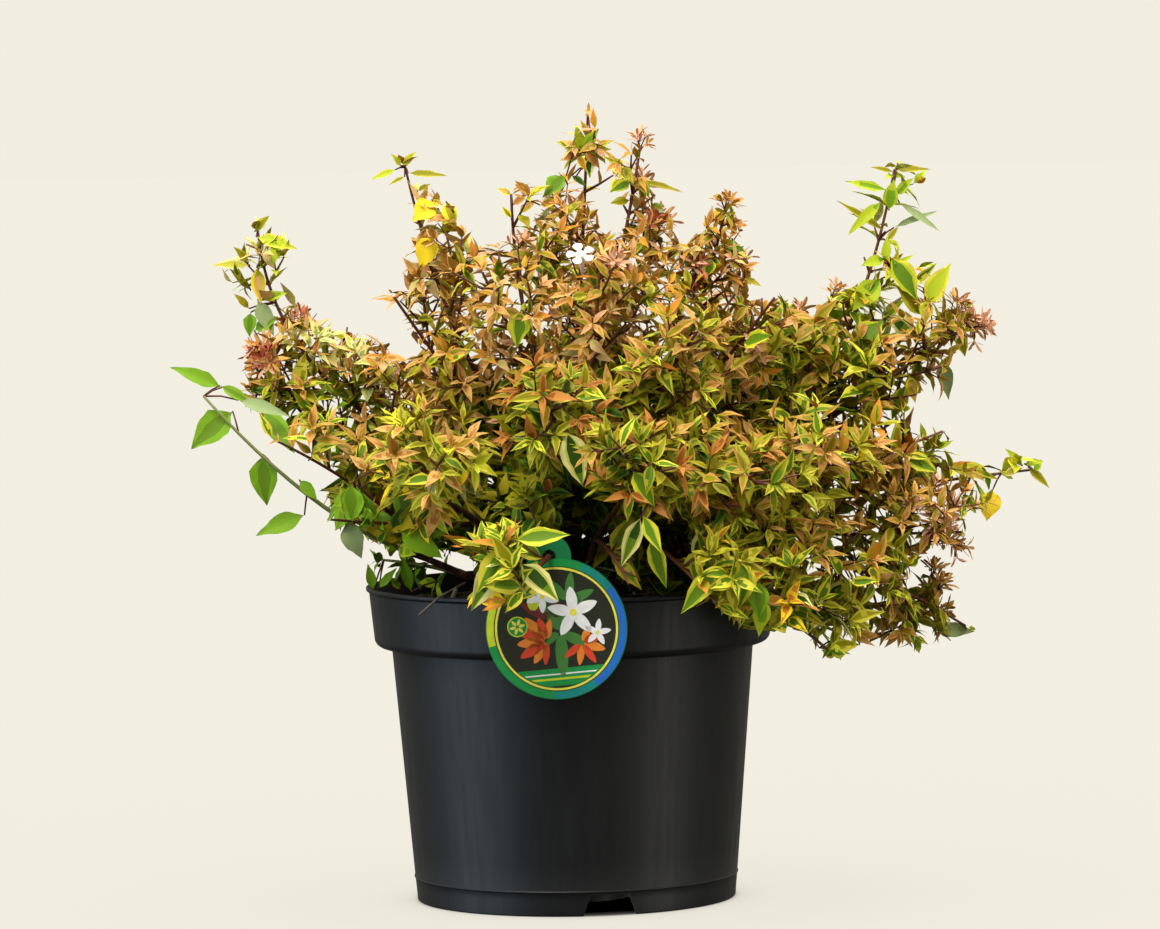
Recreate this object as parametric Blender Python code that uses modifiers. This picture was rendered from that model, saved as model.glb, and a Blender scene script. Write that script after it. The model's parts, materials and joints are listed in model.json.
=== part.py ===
"""Potted kaleidoscope glossy abelia, a small flowering shrub with its nursery pot.

Metres, +Z up.  +X is the plant's right as it is looked at, -Y is its front, and the origin
is on the floor under the middle of the pot.  The pot, its compost, the picture label, the
root crown, every bough and every mass of foliage is a closed solid of its own.
"""
import math
import random

import bmesh
import bpy
from mathutils import Matrix, Vector
from mathutils.bvhtree import BVHTree

MM = 0.001
SEED = "glossy abelia"
UP = Vector((0.0, 0.0, 1.0))
GAP = 0.3 * MM            # clearance between neighbouring solids
MERGE = 0.05 * MM         # welding distance, far below any real detail
TURN_STEPS = 36           # facets round the pot

# Nursery pot of five litres
POT_HEIGHT = 176.5 * MM
WALL = 1.5 * MM
LIP_RADIUS = 115.0 * MM
LIP_HEIGHT = 1.6 * MM
COLLAR_TOP_RADIUS = 113.3 * MM
COLLAR_BOTTOM_RADIUS = 110.7 * MM
COLLAR_BOTTOM = 142.8 * MM
COLLAR_ROUNDING = 5.0 * MM
BODY_TOP_RADIUS = 101.1 * MM
FOOT_RADIUS = 89.2 * MM
FOOT_RING_WIDTH = 3.0 * MM
RIDGE_HEIGHT = 13.5 * MM
RIDGE_SIZE = 0.5 * MM
FLOOR_LIFT = 12.0 * MM    # the floor stands this far above the ground
CENTRE_FOOT_RADIUS = 30.0 * MM
CENTRE_FOOT_TAPER = 2.0 * MM
NOTCH_COUNT = 3
NOTCH_TURN = -78.0        # degrees, the notch that shows right of the front
NOTCH_BOTTOM_WIDTH = 30.0 * MM
NOTCH_TOP_WIDTH = 21.0 * MM
NOTCH_HEIGHT = 11.7 * MM
NOTCH_DEPTH = 24.0 * MM
NOTCH_BELOW = 5.0 * MM     # its cutter starts this far under the ground
DRAIN_COUNT = 6
DRAIN_RADIUS = 4.5 * MM
DRAIN_CIRCLE = 58.0 * MM
DRAIN_SIDES = 8

# Compost
SOIL_LEVEL = 163.5 * MM
SOIL_DISH = 1.5 * MM      # the surface rises this much towards the wall

# Round picture label with a small head, hung on a shoot
LABEL_RADIUS = 38.5 * MM
LABEL_HEAD_RADIUS = 12.0 * MM
LABEL_HOLE_RADIUS = 3.6 * MM
LABEL_HEAD_RISE = 39.5 * MM     # from the middle of the disc to the middle of the head
LABEL_THICKNESS = 0.9 * MM
LABEL_CENTRE_X = -8.3 * MM
LABEL_CENTRE_Z = 160.7 * MM
LABEL_LEAN = 4.9                # degrees, the head leans left
LABEL_ARC_STEP = 10.5           # degrees between the points of its arcs
LABEL_HOLE_SIDES = 12

# Root crown, the short knobbly stem that all the boughs spring from
CROWN_RADIUS = 15.0 * MM
CROWN_HEIGHT = 37.0 * MM
CROWN_STEPS = 16
CROWN_RINGS = 5

BOUGH_POINTS = 7
FACET_SHARE = 0.9               # a six-sided bough is this thin between its corners
BOUGH_LEAD = 0.35               # how far a bough keeps the directions of its two ends
BOUGH_ROOT_GAP = 0.45 * MM      # its flat end stands off the crown's round side
LABEL_BOUGH_PAST = 11.0 * MM    # length of bough in front of the label
STEM_RADIUS = 1.7 * MM
STEM_TIP_RADIUS = 1.1 * MM
STEM_CUTS = 2
STEM_LEAD = 0.38                # how far a stem keeps its first direction
LONG_LEADS = {"left_tall": 0.58}    # stems that keep it further before they turn up
FORK_ANGLE = math.radians(36)   # a side stem leaves its bough at least this wide
STEM_BOW = 0.14                 # how much a side stem starts upward of its tip
TWIG_RADIUS = 1.3 * MM
TWIG_TIP_RADIUS = 1.0 * MM
TWIG_SHARE = 0.46               # a twig's length, of its mass's spread
TWIG_SIZES = (0.85, 1.1)        # least and most of that length
TWIG_STRAY = 18.0               # degrees that it may turn round the stem
TWIG_FORWARD = (0.35, 0.8)      # how much it leans along the stem, least and most
TWIG_RISE = 0.1
TWIG_FREE_FROM = 0.35           # share of its length from which nothing may be near it
TWIG_LEAF_PLACE = 0.6           # where the leaf on its way grows

# A leaf stands for two or three of the real ones, so it is a little larger than life
LEAF_SHARE = 1.04               # its length, of its mass's spread
LEAF_WIDTH = 0.52               # shares of its length
LEAF_WIDEST = 0.40
LEAF_THICKEST = 0.07
LEAF_FOLD = 0.05
LEAF_DROOP = 0.10
LEAF_THICKNESS = 1.3 * MM
LEAF_SUNK = 0.2 * MM
LEAF_SIZES = (0.85, 1.05)       # least and most of its length
LEAF_FACE_UP = 0.7              # how much its face looks up, outward and to any side
LEAF_FACE_OUT = 0.8
LEAF_FACE_STRAY = 0.6
LEAF_HANG = (-0.35, 0.15)       # how much it points down or up
LEAF_LEAN = (0.7, 1.3)          # least and most of how much it leans along its twig
LEAF_ROOT_SHARE = 0.2           # this much of it by its root may lie in other leaves
LEAF_TRIES = 8
TRY_TURN = 16.0                 # with each new try it turns by degrees, leans on and shrinks
TRY_LEAN = 0.22
TRY_SHRINK = 0.04
NODE_LIMIT = 5
LEAF_LIMIT = 12                 # leaves in one mass
TIP_LEAF_SUNK = 1.0 * MM
TIP_LEAF_SHARE = 0.8
NODE_SPACING = 23.0 * MM
NODE_PLACE = 0.4                # where in its share of the stem a pair grows
TIP_PAIR_LEAN = 1.0             # how much the leaves lean along their stem or twig
TWIG_LEAF_LEAN = 0.6
STEM_LEAF_LEAN = 0.5
TIP_PAIR_DROP = 6.0 * MM        # the pair of leaves under the tip leaf
SPACE_SHARE = 1.15              # a leaf may lean this much past the middle between stems
TEST_MARGIN = 0.35 * MM

POT_ROUGHNESS = 0.42
PLANT_ROUGHNESS = 0.6
COLOURS = {
    "pot": (0.016, 0.018, 0.021),
    "soil": (0.035, 0.024, 0.017),
    "label": (0.13, 0.36, 0.08),
    "bark": (0.16, 0.075, 0.045),
    "bronze": (0.48, 0.20, 0.06),
    "olive": (0.33, 0.29, 0.05),
    "green": (0.17, 0.32, 0.04),
    "lime": (0.40, 0.48, 0.06),
    "rose": (0.52, 0.20, 0.12),
    "gold": (0.72, 0.52, 0.05),
}

# Bough: tip (right, back, up) in mm, radius at foot and tip in mm,
# where it leaves the root crown (turn and lift in degrees), how upright its end is
BOUGHS = {
    "left_bough": ((-98, -6, 262), (3.2, 2.1), (176, 30), 0.45),
    "upper_left_bough": ((-46, 4, 284), (3.0, 2.1), (160, 58), 1.3),
    "runner_bough": ((-92, -52, 200), (2.6, 1.9), (-158, 10), 0.35),
    "left_low_bough": ((-66, -68, 226), (2.8, 2.0), (-136, 36), 0.45),
    "top_bough": ((4, 12, 296), (3.2, 2.1), (90, 84), 3.0),
    "crest_bough": ((54, -4, 284), (3.0, 2.1), (18, 62), 1.5),
    "tall_right_bough": ((116, 6, 258), (3.2, 2.1), (6, 30), 0.8),
    "right_bough": ((112, -30, 222), (3.0, 2.0), (-20, 10), 0.3),
    "low_right_bough": ((88, -66, 202), (2.6, 1.9), (-44, 24), 0.05),
    "front_right_bough": ((48, -76, 226), (2.8, 2.0), (-62, 46), 0.6),
    "front_bough": ((20, -82, 216), (2.6, 1.9), (-82, 14), 0.3),
    "front_left_bough": ((-13, -128, 200), (2.4, 1.6), (-108, 30), 0.0),
    "centre_bough": ((8, -42, 262), (3.0, 2.1), (-92, 62), 1.6),
    "back_left_bough": ((-56, 74, 236), (3.0, 2.1), (132, 26), 0.7),
    "back_bough": ((6, 88, 240), (3.0, 2.1), (92, 34), 0.8),
    "back_right_bough": ((68, 70, 234), (3.0, 2.1), (48, 26), 0.7),
}
LABEL_BOUGH = "front_left_bough"    # it passes through the label's hole

# Mass: bough, place along it (1 is its tip), tip (right, back, up) in mm,
# how far its side shoots reach in mm, tint
MASSES = {
    "left_tall": ("left_bough", 1.0, (-172, 2, 382), 38, "green"),
    "left_rose": ("left_bough", 0.78, (-181, -26, 312), 40, "rose"),
    "left_head": ("left_bough", 0.56, (-147, 22, 328), 38, "bronze"),
    "upper_left": ("upper_left_bough", 1.0, (-90, 2, 416), 38, "lime"),
    "left_middle": ("upper_left_bough", 0.68, (-98, -44, 344), 40, "bronze"),
    "green_runner": ("runner_bough", 1.0, (-216, -62, 306), 36, "green"),
    "left_wing": ("runner_bough", 0.76, (-166, -74, 266), 42, "olive"),
    "left_low": ("left_low_bough", 0.72, (-136, -106, 222), 44, "green"),
    "rim_sprout": ("runner_bough", 0.5, (-110, -20, 193), 24, "green"),
    "left_front": ("left_low_bough", 1.0, (-74, -136, 266), 46, "olive"),
    "top_spire": ("top_bough", 1.0, (14, 0, 446), 40, "bronze"),
    "top_head": ("top_bough", 0.82, (43, -14, 424), 40, "bronze"),
    "top_left": ("top_bough", 0.62, (-30, -4, 400), 44, "olive"),
    "crest": ("crest_bough", 1.0, (91, -10, 393), 42, "bronze"),
    "shoulder": ("crest_bough", 0.72, (118, -46, 340), 42, "bronze"),
    "tall_right": ("tall_right_bough", 1.0, (185, 0, 410), 38, "lime"),
    "right_rose": ("tall_right_bough", 0.8, (231, -16, 328), 42, "rose"),
    "right_inner": ("tall_right_bough", 0.58, (153, 44, 335), 42, "bronze"),
    "right_wing": ("right_bough", 1.0, (212, -40, 262), 44, "olive"),
    "far_right": ("right_bough", 0.84, (265, 0, 236), 38, "gold"),
    "right_calyx": ("right_bough", 0.7, (221, -66, 206), 42, "rose"),
    "right_front": ("right_bough", 0.54, (160, -108, 258), 46, "olive"),
    "low_right": ("low_right_bough", 1.0, (222, -36, 149), 44, "olive"),
    "low_right_front": ("low_right_bough", 0.72, (142, -118, 144), 46, "lime"),
    "front_right": ("front_right_bough", 0.64, (80, -160, 174), 46, "lime"),
    "front_right_middle": ("front_right_bough", 1.0, (112, -150, 238), 46, "olive"),
    "front_centre": ("front_bough", 0.72, (32, -160, 186), 44, "lime"),
    "front_middle": ("front_bough", 1.0, (46, -158, 254), 46, "olive"),
    "front_left": ("front_left_bough", 1.0, (-38, -172, 178), 42, "lime"),
    "front_centre_high": ("centre_bough", 0.6, (-14, -142, 290), 46, "olive"),
    "centre_left_high": ("centre_bough", 0.78, (-48, -72, 358), 44, "bronze"),
    "centre_high": ("centre_bough", 1.0, (20, -72, 366), 44, "bronze"),
    "centre_right_high": ("centre_bough", 0.7, (74, -100, 324), 46, "olive"),
    "back_left_high": ("back_left_bough", 1.0, (-84, 100, 352), 48, "bronze"),
    "back_left_low": ("back_left_bough", 0.72, (-134, 140, 226), 48, "green"),
    "back_high": ("back_bough", 1.0, (8, 104, 370), 50, "bronze"),
    "back_low": ("back_bough", 0.72, (4, 184, 226), 50, "olive"),
    "back_right_high": ("back_right_bough", 1.0, (102, 88, 354), 48, "bronze"),
    "back_right_low": ("back_right_bough", 0.72, (140, 142, 214), 50, "olive"),
}


def clear_scene():
    for thing in list(bpy.data.objects):
        bpy.data.objects.remove(thing, do_unlink=True)


def new_collection(name):
    group = bpy.data.collections.new(name)
    bpy.context.scene.collection.children.link(group)
    return group


def make_material(name, colour, roughness):
    material = bpy.data.materials.new(name)
    material.use_nodes = True
    shader = material.node_tree.nodes["Principled BSDF"]
    shader.inputs["Base Color"].default_value = (*colour, 1.0)
    shader.inputs["Roughness"].default_value = roughness
    shader.inputs["Metallic"].default_value = 0.0
    material.diffuse_color = (*colour, 1.0)
    return material


def add_object(name, data, group, material=None):
    thing = bpy.data.objects.new(name, data)
    group.objects.link(thing)
    if material is not None:
        data.materials.append(material)
    return thing


def mesh_from(bm, name):
    mesh = bpy.data.meshes.new(name)
    bm.to_mesh(mesh)
    bm.free()
    return mesh


def evaluated_mesh(thing):
    """The object's mesh with its modifiers, or its curve's tube, as a new mesh."""
    graph = bpy.context.evaluated_depsgraph_get()
    graph.update()
    return bpy.data.meshes.new_from_object(thing.evaluated_get(graph))


def surface_tree(thing):
    """A search tree of the object's surface in world space."""
    mesh = evaluated_mesh(thing)
    mesh.transform(thing.matrix_world)
    points = [vertex.co.copy() for vertex in mesh.vertices]
    faces = [tuple(face.vertices) for face in mesh.polygons]
    bpy.data.meshes.remove(mesh)
    return BVHTree.FromPolygons(points, faces)


# Turned pieces

def turned(name, profile, steps, group, material):
    """A solid turned round Z from its profile of (radius, height) pairs."""
    bm = bmesh.new()
    line = [bm.verts.new((radius, 0.0, height)) for radius, height in profile]
    for first, second in zip(line, line[1:]):
        bm.edges.new((first, second))
    thing = add_object(name, mesh_from(bm, name), group, material)
    screw = thing.modifiers.new("turn", "SCREW")
    screw.steps = steps
    screw.render_steps = steps
    screw.use_merge_vertices = True
    screw.merge_threshold = MERGE
    return thing


def body_radius(height):
    """Outer radius of the pot's tapering body at a height."""
    return FOOT_RADIUS + (BODY_TOP_RADIUS - FOOT_RADIUS) * height / COLLAR_BOTTOM


def arc(centre, radius, start, end, steps):
    """Points of an arc round centre, from start to end in degrees."""
    turns = [math.radians(start + (end - start) * k / steps) for k in range(steps + 1)]
    return [(centre[0] + radius * math.cos(a), centre[1] + radius * math.sin(a)) for a in turns]


def pot_profile():
    """From the middle of the pot's floor, up inside, over the lip and down outside."""
    floor_top = FLOOR_LIFT + WALL
    step_top = COLLAR_BOTTOM + WALL
    inside = [
        (0.0, floor_top),
        (body_radius(floor_top) - WALL, floor_top),
        (body_radius(COLLAR_BOTTOM) - WALL, step_top),
        (COLLAR_BOTTOM_RADIUS - WALL, step_top),
        (COLLAR_TOP_RADIUS - WALL, POT_HEIGHT),
    ]
    lip = [
        (LIP_RADIUS, POT_HEIGHT),
        (LIP_RADIUS, POT_HEIGHT - LIP_HEIGHT),
        (COLLAR_TOP_RADIUS, POT_HEIGHT - 1.5 * LIP_HEIGHT),
    ]
    rounding = arc((COLLAR_BOTTOM_RADIUS - COLLAR_ROUNDING, COLLAR_BOTTOM + COLLAR_ROUNDING),
                   COLLAR_ROUNDING, 0.0, -90.0, 2)
    ridge = [
        (body_radius(COLLAR_BOTTOM), COLLAR_BOTTOM),
        (body_radius(RIDGE_HEIGHT + RIDGE_SIZE), RIDGE_HEIGHT + RIDGE_SIZE),
        (body_radius(RIDGE_HEIGHT) + RIDGE_SIZE, RIDGE_HEIGHT),
    ]
    foot = [
        (FOOT_RADIUS, 0.0),
        (FOOT_RADIUS - FOOT_RING_WIDTH, 0.0),
        (FOOT_RADIUS - FOOT_RING_WIDTH, FLOOR_LIFT),
        (CENTRE_FOOT_RADIUS + CENTRE_FOOT_TAPER, FLOOR_LIFT),
        (CENTRE_FOOT_RADIUS, 0.0),
        (0.0, 0.0),
    ]
    return inside + lip + rounding + ridge + foot


def add_notch(number, cutters):
    """A cutter that is wider at the ground, through the pot's foot ring."""
    slope = (NOTCH_BOTTOM_WIDTH - NOTCH_TOP_WIDTH) / NOTCH_HEIGHT
    half_top = NOTCH_TOP_WIDTH / 2
    half_bottom = (NOTCH_BOTTOM_WIDTH + slope * NOTCH_BELOW) / 2
    bm = bmesh.new()
    bmesh.ops.create_cube(bm, size=1.0)
    for vertex in bm.verts:
        top = vertex.co.z > 0
        vertex.co.x = FOOT_RADIUS + math.copysign(NOTCH_DEPTH / 2, vertex.co.x)
        vertex.co.y = math.copysign(half_top if top else half_bottom, vertex.co.y)
        vertex.co.z = NOTCH_HEIGHT if top else -NOTCH_BELOW
    turn = math.radians(NOTCH_TURN + number * 360.0 / NOTCH_COUNT)
    bm.transform(Matrix.Rotation(turn, 4, "Z"))
    return add_object(f"notch_cutter_{number}", mesh_from(bm, "notch_cutter"), cutters)


def add_drain(number, cutters):
    """A round cutter through the pot's raised floor."""
    turn = math.radians((number + 0.5) * 360.0 / DRAIN_COUNT)
    place = Vector((math.cos(turn), math.sin(turn), 0.0)) * DRAIN_CIRCLE
    place.z = FLOOR_LIFT + WALL / 2
    bm = bmesh.new()
    bmesh.ops.create_cone(bm, cap_ends=True, segments=DRAIN_SIDES, radius1=DRAIN_RADIUS,
                          radius2=DRAIN_RADIUS, depth=6 * WALL,
                          matrix=Matrix.Translation(place))
    return add_object(f"drain_cutter_{number}", mesh_from(bm, "drain_cutter"), cutters)


def add_pot(model, cutters, material):
    pot = turned("pot", pot_profile(), TURN_STEPS, model, material)
    tools = [add_notch(k, cutters) for k in range(NOTCH_COUNT)]
    tools += [add_drain(k, cutters) for k in range(DRAIN_COUNT)]
    for tool in tools:
        tool.hide_render = True
        tool.display_type = "WIRE"
    cut = pot.modifiers.new("notches_and_drains", "BOOLEAN")
    cut.operation = "DIFFERENCE"
    cut.operand_type = "COLLECTION"
    cut.collection = cutters
    return pot


def add_soil(model, material):
    """Compost up to a little under the rim, clear of the pot all round."""
    bottom = FLOOR_LIFT + WALL + GAP
    step = COLLAR_BOTTOM + WALL + GAP
    slope = (COLLAR_TOP_RADIUS - COLLAR_BOTTOM_RADIUS) / (POT_HEIGHT - COLLAR_BOTTOM - WALL)
    level = SOIL_LEVEL + SOIL_DISH
    profile = [
        (0.0, SOIL_LEVEL),
        (2 * CROWN_RADIUS, SOIL_LEVEL),
        (COLLAR_BOTTOM_RADIUS - WALL - GAP + slope * (level - step), level),
        (COLLAR_BOTTOM_RADIUS - WALL - GAP, step),
        (BODY_TOP_RADIUS - WALL - 2 * GAP, step),
        (body_radius(bottom) - WALL - 2 * GAP, bottom),
        (0.0, bottom),
    ]
    return turned("compost", profile, TURN_STEPS, model, material)


# Label

def label_outline():
    """Points round the disc and its head, two circles that cross."""
    rise = (LABEL_HEAD_RISE ** 2 + LABEL_RADIUS ** 2 - LABEL_HEAD_RADIUS ** 2) / (2 * LABEL_HEAD_RISE)
    disc_side = math.degrees(math.acos(rise / LABEL_RADIUS))
    head_side = math.degrees(math.asin((rise - LABEL_HEAD_RISE) / LABEL_HEAD_RADIUS))
    disc_steps = round((360.0 - 2 * disc_side) / LABEL_ARC_STEP)
    head_steps = round((180.0 - 2 * head_side) / (2 * LABEL_ARC_STEP))
    disc = arc((0.0, 0.0), LABEL_RADIUS, 90.0 + disc_side, 450.0 - disc_side, disc_steps)
    head = arc((0.0, LABEL_HEAD_RISE), LABEL_HEAD_RADIUS, head_side, 180.0 - head_side, head_steps)
    return disc + head[1:-1]


def add_spline(curve, points):
    spline = curve.splines.new("POLY")
    spline.points.add(len(points) - 1)
    for target, (across, up) in zip(spline.points, points):
        target.co = (across, up, 0.0, 1.0)
    spline.use_cyclic_u = True


def label_place():
    """World matrix of the label: its face looks out from the lip that it rests on."""
    stand_off = LIP_RADIUS + GAP + LABEL_THICKNESS / 2
    turn = math.asin(LABEL_CENTRE_X / stand_off)
    centre = Vector((LABEL_CENTRE_X, -stand_off * math.cos(turn), LABEL_CENTRE_Z))
    upright = Matrix.Rotation(math.radians(90.0), 4, "X")
    lean = Matrix.Rotation(math.radians(LABEL_LEAN), 4, "Z")
    return Matrix.Translation(centre) @ Matrix.Rotation(turn, 4, "Z") @ upright @ lean


def add_label(model, material):
    curve = bpy.data.curves.new("label_outline", "CURVE")
    curve.dimensions = "2D"
    curve.fill_mode = "BOTH"
    curve.extrude = LABEL_THICKNESS / 2
    hole = arc((0.0, LABEL_HEAD_RISE), LABEL_HOLE_RADIUS, 0.0, 360.0, LABEL_HOLE_SIDES)
    add_spline(curve, label_outline())
    add_spline(curve, hole[:-1])
    shape = add_object("label_shape", curve, model)
    mesh = evaluated_mesh(shape)
    bpy.data.objects.remove(shape, do_unlink=True)
    bm = bmesh.new()
    bm.from_mesh(mesh)
    bmesh.ops.remove_doubles(bm, verts=bm.verts, dist=MERGE)
    bmesh.ops.recalc_face_normals(bm, faces=bm.faces)
    bm.to_mesh(mesh)
    bm.free()
    label = add_object("picture_label", mesh, model, material)
    label.matrix_world = label_place()
    return label


# Root crown and boughs

def crown_profile():
    """Half of an upright egg with a flat cut just above the compost."""
    foot = SOIL_LEVEL + GAP
    turns = [math.radians(90.0 * (1 - k / CROWN_RINGS)) for k in range(CROWN_RINGS + 1)]
    side = [(CROWN_RADIUS * math.cos(a), foot + CROWN_HEIGHT * math.sin(a)) for a in turns]
    side[0] = (0.0, foot + CROWN_HEIGHT)
    return side + [(0.0, foot)]


def crown_point(turn, lift):
    """Place and outward direction on the root crown, from two angles in degrees."""
    turn, lift = math.radians(turn), math.radians(lift)
    across = Vector((math.cos(turn), math.sin(turn), 0.0))
    place = across * CROWN_RADIUS * math.cos(lift)
    place.z = SOIL_LEVEL + GAP + CROWN_HEIGHT * math.sin(lift)
    normal = across * math.cos(lift) / CROWN_RADIUS
    normal.z = math.sin(lift) / CROWN_HEIGHT
    return place, normal.normalized()


def bezier(controls, t):
    """Point and direction at t on the Bezier curve of the control points."""
    points = [control.copy() for control in controls]
    while len(points) > 2:
        points = [first.lerp(second, t) for first, second in zip(points, points[1:])]
    return points[0].lerp(points[1], t), (points[1] - points[0]).normalized()


def bough_controls(name):
    """Control points of a bough, from the root crown to its tip."""
    tip, _, (turn, lift), rise = BOUGHS[name]
    start, normal = crown_point(turn, lift)
    start += normal * BOUGH_ROOT_GAP
    tip = Vector(tip) * MM
    heading = Vector((tip.x, tip.y, 0.0)).normalized()
    heading.z = rise
    if name == LABEL_BOUGH:
        place = label_place()
        heading = place.to_3x3() @ UP
        tip = place @ Vector((0.0, LABEL_HEAD_RISE, 0.0)) + heading * LABEL_BOUGH_PAST
    lead = BOUGH_LEAD * (tip - start).length
    return [start, start + normal * lead, tip - heading.normalized() * lead, tip]


def bough_line(name):
    """The points of a bough's middle line."""
    controls = bough_controls(name)
    return [bezier(controls, k / (BOUGH_POINTS - 1))[0] for k in range(BOUGH_POINTS)]


def point_on(line, t):
    """Point and direction at the share t of a line of points."""
    k = min(int(t * (len(line) - 1)), len(line) - 2)
    along = line[k + 1] - line[k]
    return line[k] + along * (t * (len(line) - 1) - k), along.normalized()


def bough_radius(name, t):
    foot, tip = BOUGHS[name][1]
    return (foot + (tip - foot) * t) * MM


def add_bough(name, model, material):
    """One limb: a tube along its curve that tapers to its tip, with closed ends."""
    curve = bpy.data.curves.new(name, "CURVE")
    curve.dimensions = "3D"
    curve.bevel_depth = bough_radius(name, 0.0)
    curve.bevel_resolution = 1
    curve.use_fill_caps = True
    spline = curve.splines.new("POLY")
    spline.points.add(BOUGH_POINTS - 1)
    for k, (target, point) in enumerate(zip(spline.points, bough_line(name))):
        target.co = (*point, 1.0)
        target.radius = bough_radius(name, k / (BOUGH_POINTS - 1)) / curve.bevel_depth
    return add_object(name, curve, model, material)


# Masses of foliage

def stem_start(name):
    """Foot and heading of a mass's stem just clear of its bough, and the bough's backward way."""
    bough, place, tip, _, _ = MASSES[name]
    point, along = point_on(bough_line(bough), place)
    if place == 1.0:
        return point + along * GAP, along, -across(along, 0.0)
    heading = ((Vector(tip) * MM - point).normalized() + UP * STEM_BOW).normalized()
    angle = heading.angle(along)
    if angle < FORK_ANGLE:
        heading = Matrix.Rotation(FORK_ANGLE - angle, 3, along.cross(heading)) @ heading
        angle = FORK_ANGLE
    flat_side = STEM_RADIUS * math.cos(math.pi / 3)
    clear = FACET_SHARE * bough_radius(bough, place) + GAP + flat_side * abs(math.cos(angle))
    back = (heading * along.dot(heading) - along).normalized()
    return point + heading * clear / math.sin(angle), heading, back * math.copysign(1.0, math.cos(angle))


def stem_controls(name):
    """Control points of a mass's stem, from its foot to where its tip leaf starts."""
    foot, heading, _ = stem_start(name)
    tip = Vector(MASSES[name][2]) * MM
    lead = foot + heading * (tip - foot).length * LONG_LEADS.get(name, STEM_LEAD)
    reach = TIP_LEAF_SHARE * LEAF_SHARE * MASSES[name][3] * MM - TIP_LEAF_SUNK
    return [foot, lead, tip - (tip - lead).normalized() * reach]


def distance_to_line(point, line):
    """Shortest distance from a point to a line of points."""
    nearest = math.inf
    for first, second in zip(line, line[1:]):
        along = second - first
        t = max(0.0, min(1.0, (point - first).dot(along) / along.length_squared))
        nearest = min(nearest, (point - first - along * t).length)
    return nearest


def in_own_space(point, name, lines):
    """True where a point lies nearer to its own stem than to any other, for its spread."""
    own = distance_to_line(point, lines[name]) / MASSES[name][3]
    for other, line in lines.items():
        if other == name:
            continue
        if SPACE_SHARE * distance_to_line(point, line) / MASSES[other][3] < own:
            return False
    return True


def across(direction, turn):
    """A unit vector square to a direction, turned round it by degrees."""
    helper = UP if abs(direction.z) < 0.9 else Vector((1.0, 0.0, 0.0))
    side = direction.cross(helper).normalized()
    return Matrix.Rotation(math.radians(turn), 3, direction) @ side


def make_leaf(root, heading, length, rng):
    """A leaf on a twig's axis: its root, direction, the way its face looks, and its length."""
    outward = Vector((root.x, root.y, 0.0)).normalized()
    face = UP * LEAF_FACE_UP + outward * LEAF_FACE_OUT
    face += Vector((rng.uniform(-1, 1), rng.uniform(-1, 1), rng.uniform(-1, 1))) * LEAF_FACE_STRAY
    face -= heading * face.dot(heading)
    return root, heading, face.normalized(), length


def leaning(along, aside, forward, rng):
    """A direction between along and aside that hangs down a little."""
    return (along * forward + aside + UP * rng.uniform(*LEAF_HANG)).normalized()


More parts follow.
